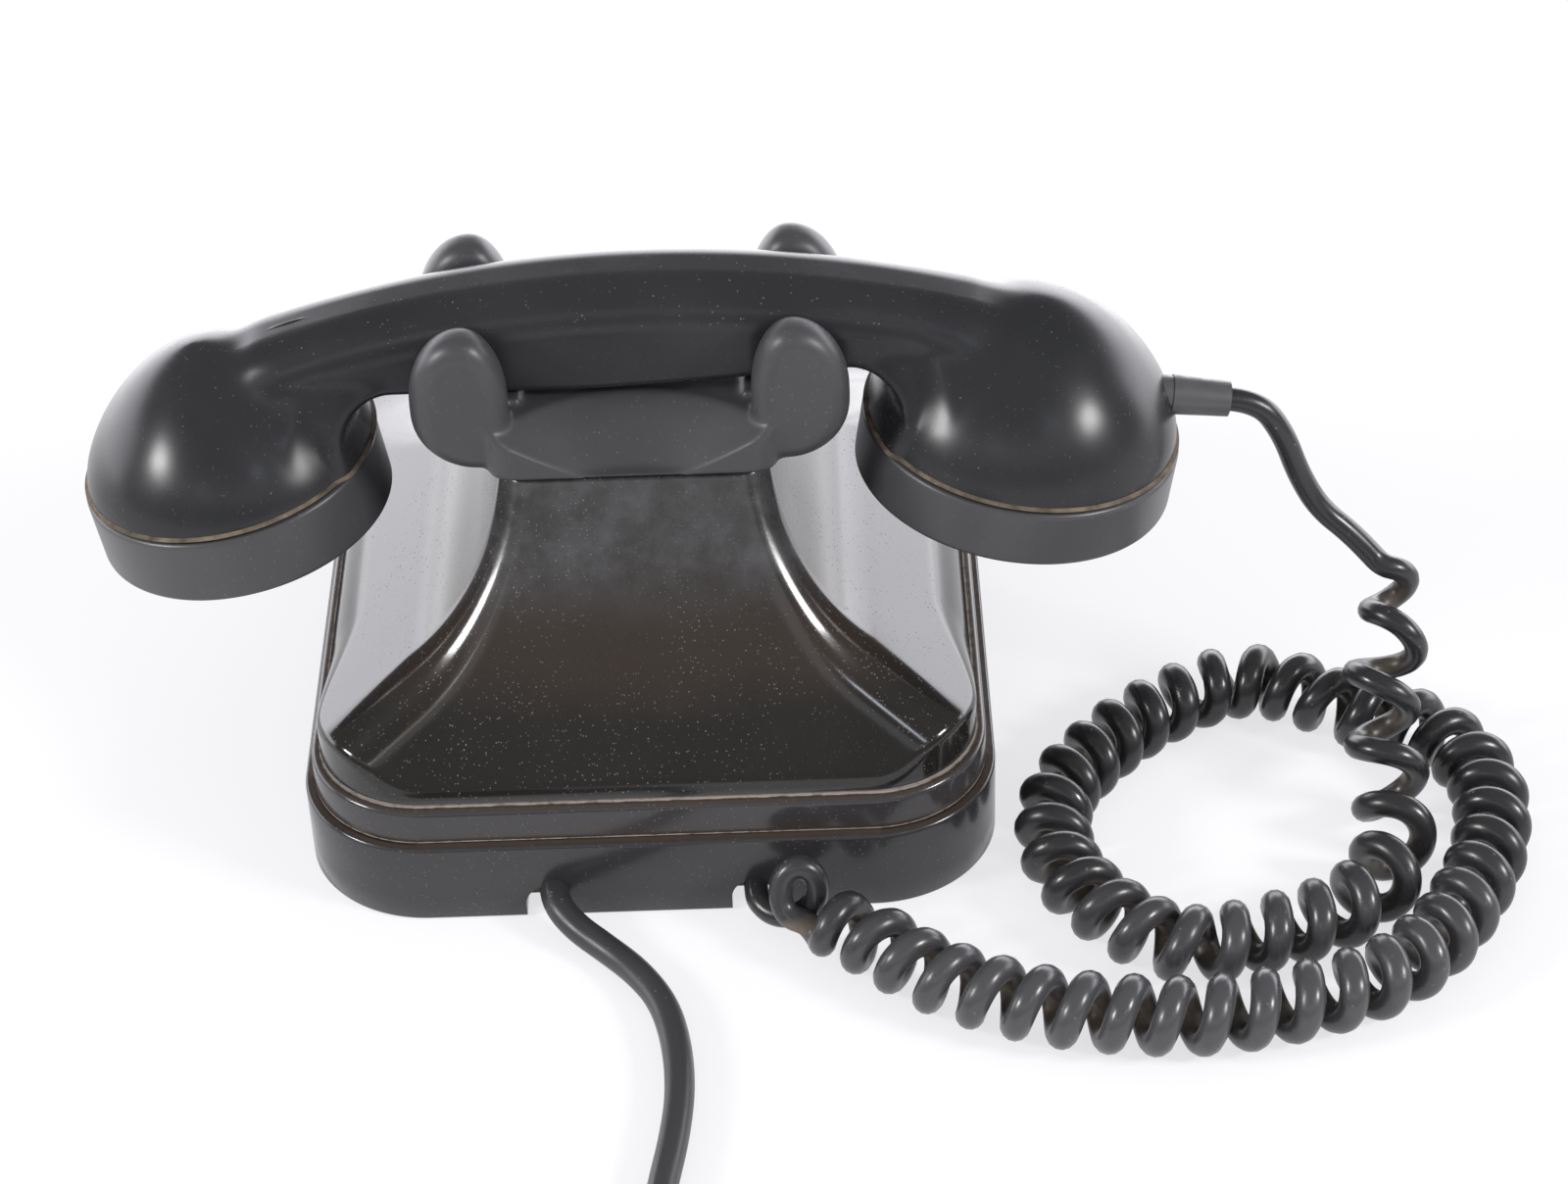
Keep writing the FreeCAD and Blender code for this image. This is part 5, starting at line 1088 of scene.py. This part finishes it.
turned = np.concatenate([[0], np.cumsum((rate[1:] + rate[:-1]) / 2 * np.diff(steps))])
turned *= 2 * np.pi * curl_count / turned[-1]
reach = curl_radius * swell * (1 + 0.12 * hanging)
# Each place of the route plus a circle in its two side directions, whose angle grows with the rate.
wound = centres + reach[:, None] * (np.cos(turned)[:, None] * sides - np.sin(turned)[:, None] * others)
wound[:, 2] = np.maximum(wound[:, 2], cord_radius)
thin = np.maximum(np.clip((lead_thin - steps) / 0.05, 0, 1),
                  np.clip((steps - route_length + notch_thin) / 0.015, 0, 1))
curly = tube("cord_curls", wound, cord_radius - thinner * thin, cord_sides)
from_middle = vertex_places(curly.data).reshape(len(wound), cord_sides, 3) - wound[:, None]
inward = (centres - wound) / np.maximum(reach, 1e-4)[:, None]
facing = (from_middle * inward[:, None]).sum(axis=2) / cord_radius
lay_dust(curly, np.clip(1.5 * facing - 0.1, 0, 1).ravel(), 1)


def cord_finish(name, colour, pale, gloss):
    """Black rubber, paler where it lies to the rear, with tan dust inside the curls, most at the left."""
    lodged_tan, speck_grey = (0.17, 0.135, 0.10), (0.16, 0.15, 0.13)
    material, tree, shader = new_finish(name)
    along_x, along_y = object_axis(tree, "X"), object_axis(tree, "Y")
    rear = soft_step(tree, maths(tree, "MULTIPLY_ADD", noise(tree, 60.0, 4.0), 0.04, along_y), 0.10, 0.14)
    base = mix_colour(tree, rear, colour, pale)
    side = maths(tree, "MULTIPLY", soft_step(tree, along_x, -0.125, -0.095),
                 soft_step(tree, along_y, 0.030, 0.055))
    patches = ramp(tree, noise(tree, 160.0, 6.0, 0.65), 0.3, 0.6)
    lodged = maths(tree, "MULTIPLY", maths(tree, "MULTIPLY_ADD", side, 0.55, 0.4),
                   maths(tree, "MULTIPLY", patches, laid_dust(tree)))
    base = mix_colour(tree, lodged, base, lodged_tan)
    fine = specks(tree, 900.0, 0.3, 0.10)
    tree.links.new(mix_colour(tree, maths(tree, "MULTIPLY", fine, 0.5), base, speck_grey),
                   shader.inputs["Base Color"])
    varied = ramp(tree, noise(tree, 150.0, 4.0), 0.3, 0.7, gloss - 0.05, gloss + 0.08)
    tree.links.new(maths(tree, "MULTIPLY_ADD", lodged, 0.4, varied), shader.inputs["Roughness"])
    return material


cord_rubber = cord_finish("cord rubber", (0.020, 0.020, 0.022), (0.056, 0.056, 0.061), 0.27)
curly.data.materials.append(cord_rubber)
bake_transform(curly)
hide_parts("cord_lead", "curly_cord")


# The line cord: a round rubber-sheathed lead from the left-hand notch. It runs off behind the
# telephone, and its unseen length is put away in a coil of two layers, with the rubber plug and
# its brass pins lying on it.
line_rubber = cord_finish("line rubber", (0.026, 0.0255, 0.028), (0.040, 0.040, 0.043), 0.34)
coat(["line_plug"], rubber)
coat(["plug_pins"], brass)
line_radius, line_lie, plug_lie = 0.00315, 0.0032, 0.01775
coil_centre = np.array((0.044, 0.226, line_lie))
coil_outer, coil_step, coil_layer, coil_turns, climb_tuck = 0.044, 0.00705, 0.0069, 3.25, 0.0012
spiral_turn = 2 * np.pi * coil_turns
whole_turn = 2 * spiral_turn + np.pi
swept = np.linspace(0, whole_turn, 170)
part = np.clip((swept - spiral_turn) / np.pi, 0, 1)
climb = ease(part)
spiral = np.minimum(swept, whole_turn - swept).clip(0, spiral_turn)
coil_reach = coil_outer - coil_step * spiral / (2 * np.pi) - climb_tuck * np.sin(np.pi * part)
coil_points = coil_centre + np.stack([coil_reach * np.cos(np.pi - swept), coil_reach * np.sin(np.pi - swept),
                                      climb * coil_layer], axis=1)
line_exit = (0.021, 0.077, 0.0072)
line_route = [line_exit, (0.021, 0.084, 0.0072), (0.0164, 0.09, line_lie + 0.0016),
              (0.0096, 0.0955, line_lie), (0.0028, 0.103, line_lie), (-0.0028, 0.1125, line_lie),
              (-0.0056, 0.125, line_lie), (-0.0064, 0.1385, line_lie), (-0.0052, 0.1515, line_lie),
              (-0.003, 0.164, line_lie), (-0.0012, 0.177, line_lie), (-0.0002, 0.19, line_lie),
              (0.0, 0.203, line_lie), (0.0, 0.216, line_lie)]
line_route += [tuple(point) for point in coil_points.tolist()]
line_route += [(0.0, 0.246, coil_points[-1][2]), (0.007, 0.258, coil_points[-1][2] + 0.0036),
               (0.0193, 0.265, plug_lie), (0.0335, 0.265, plug_lie)]
line_curve = smooth_curve("cord_to_wall", line_route, 6)
line_curve.bevel_depth = line_radius
line_curve.bevel_resolution = 4
line_curve.use_fill_caps = True
line_curve.materials.append(line_rubber)
line = new_piece("cord_to_wall", line_curve)
line_run = smooth_line("line route", line_route)[1]
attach(line, "base")
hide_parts("line_cord", "line_cord_coil", "line_tail")
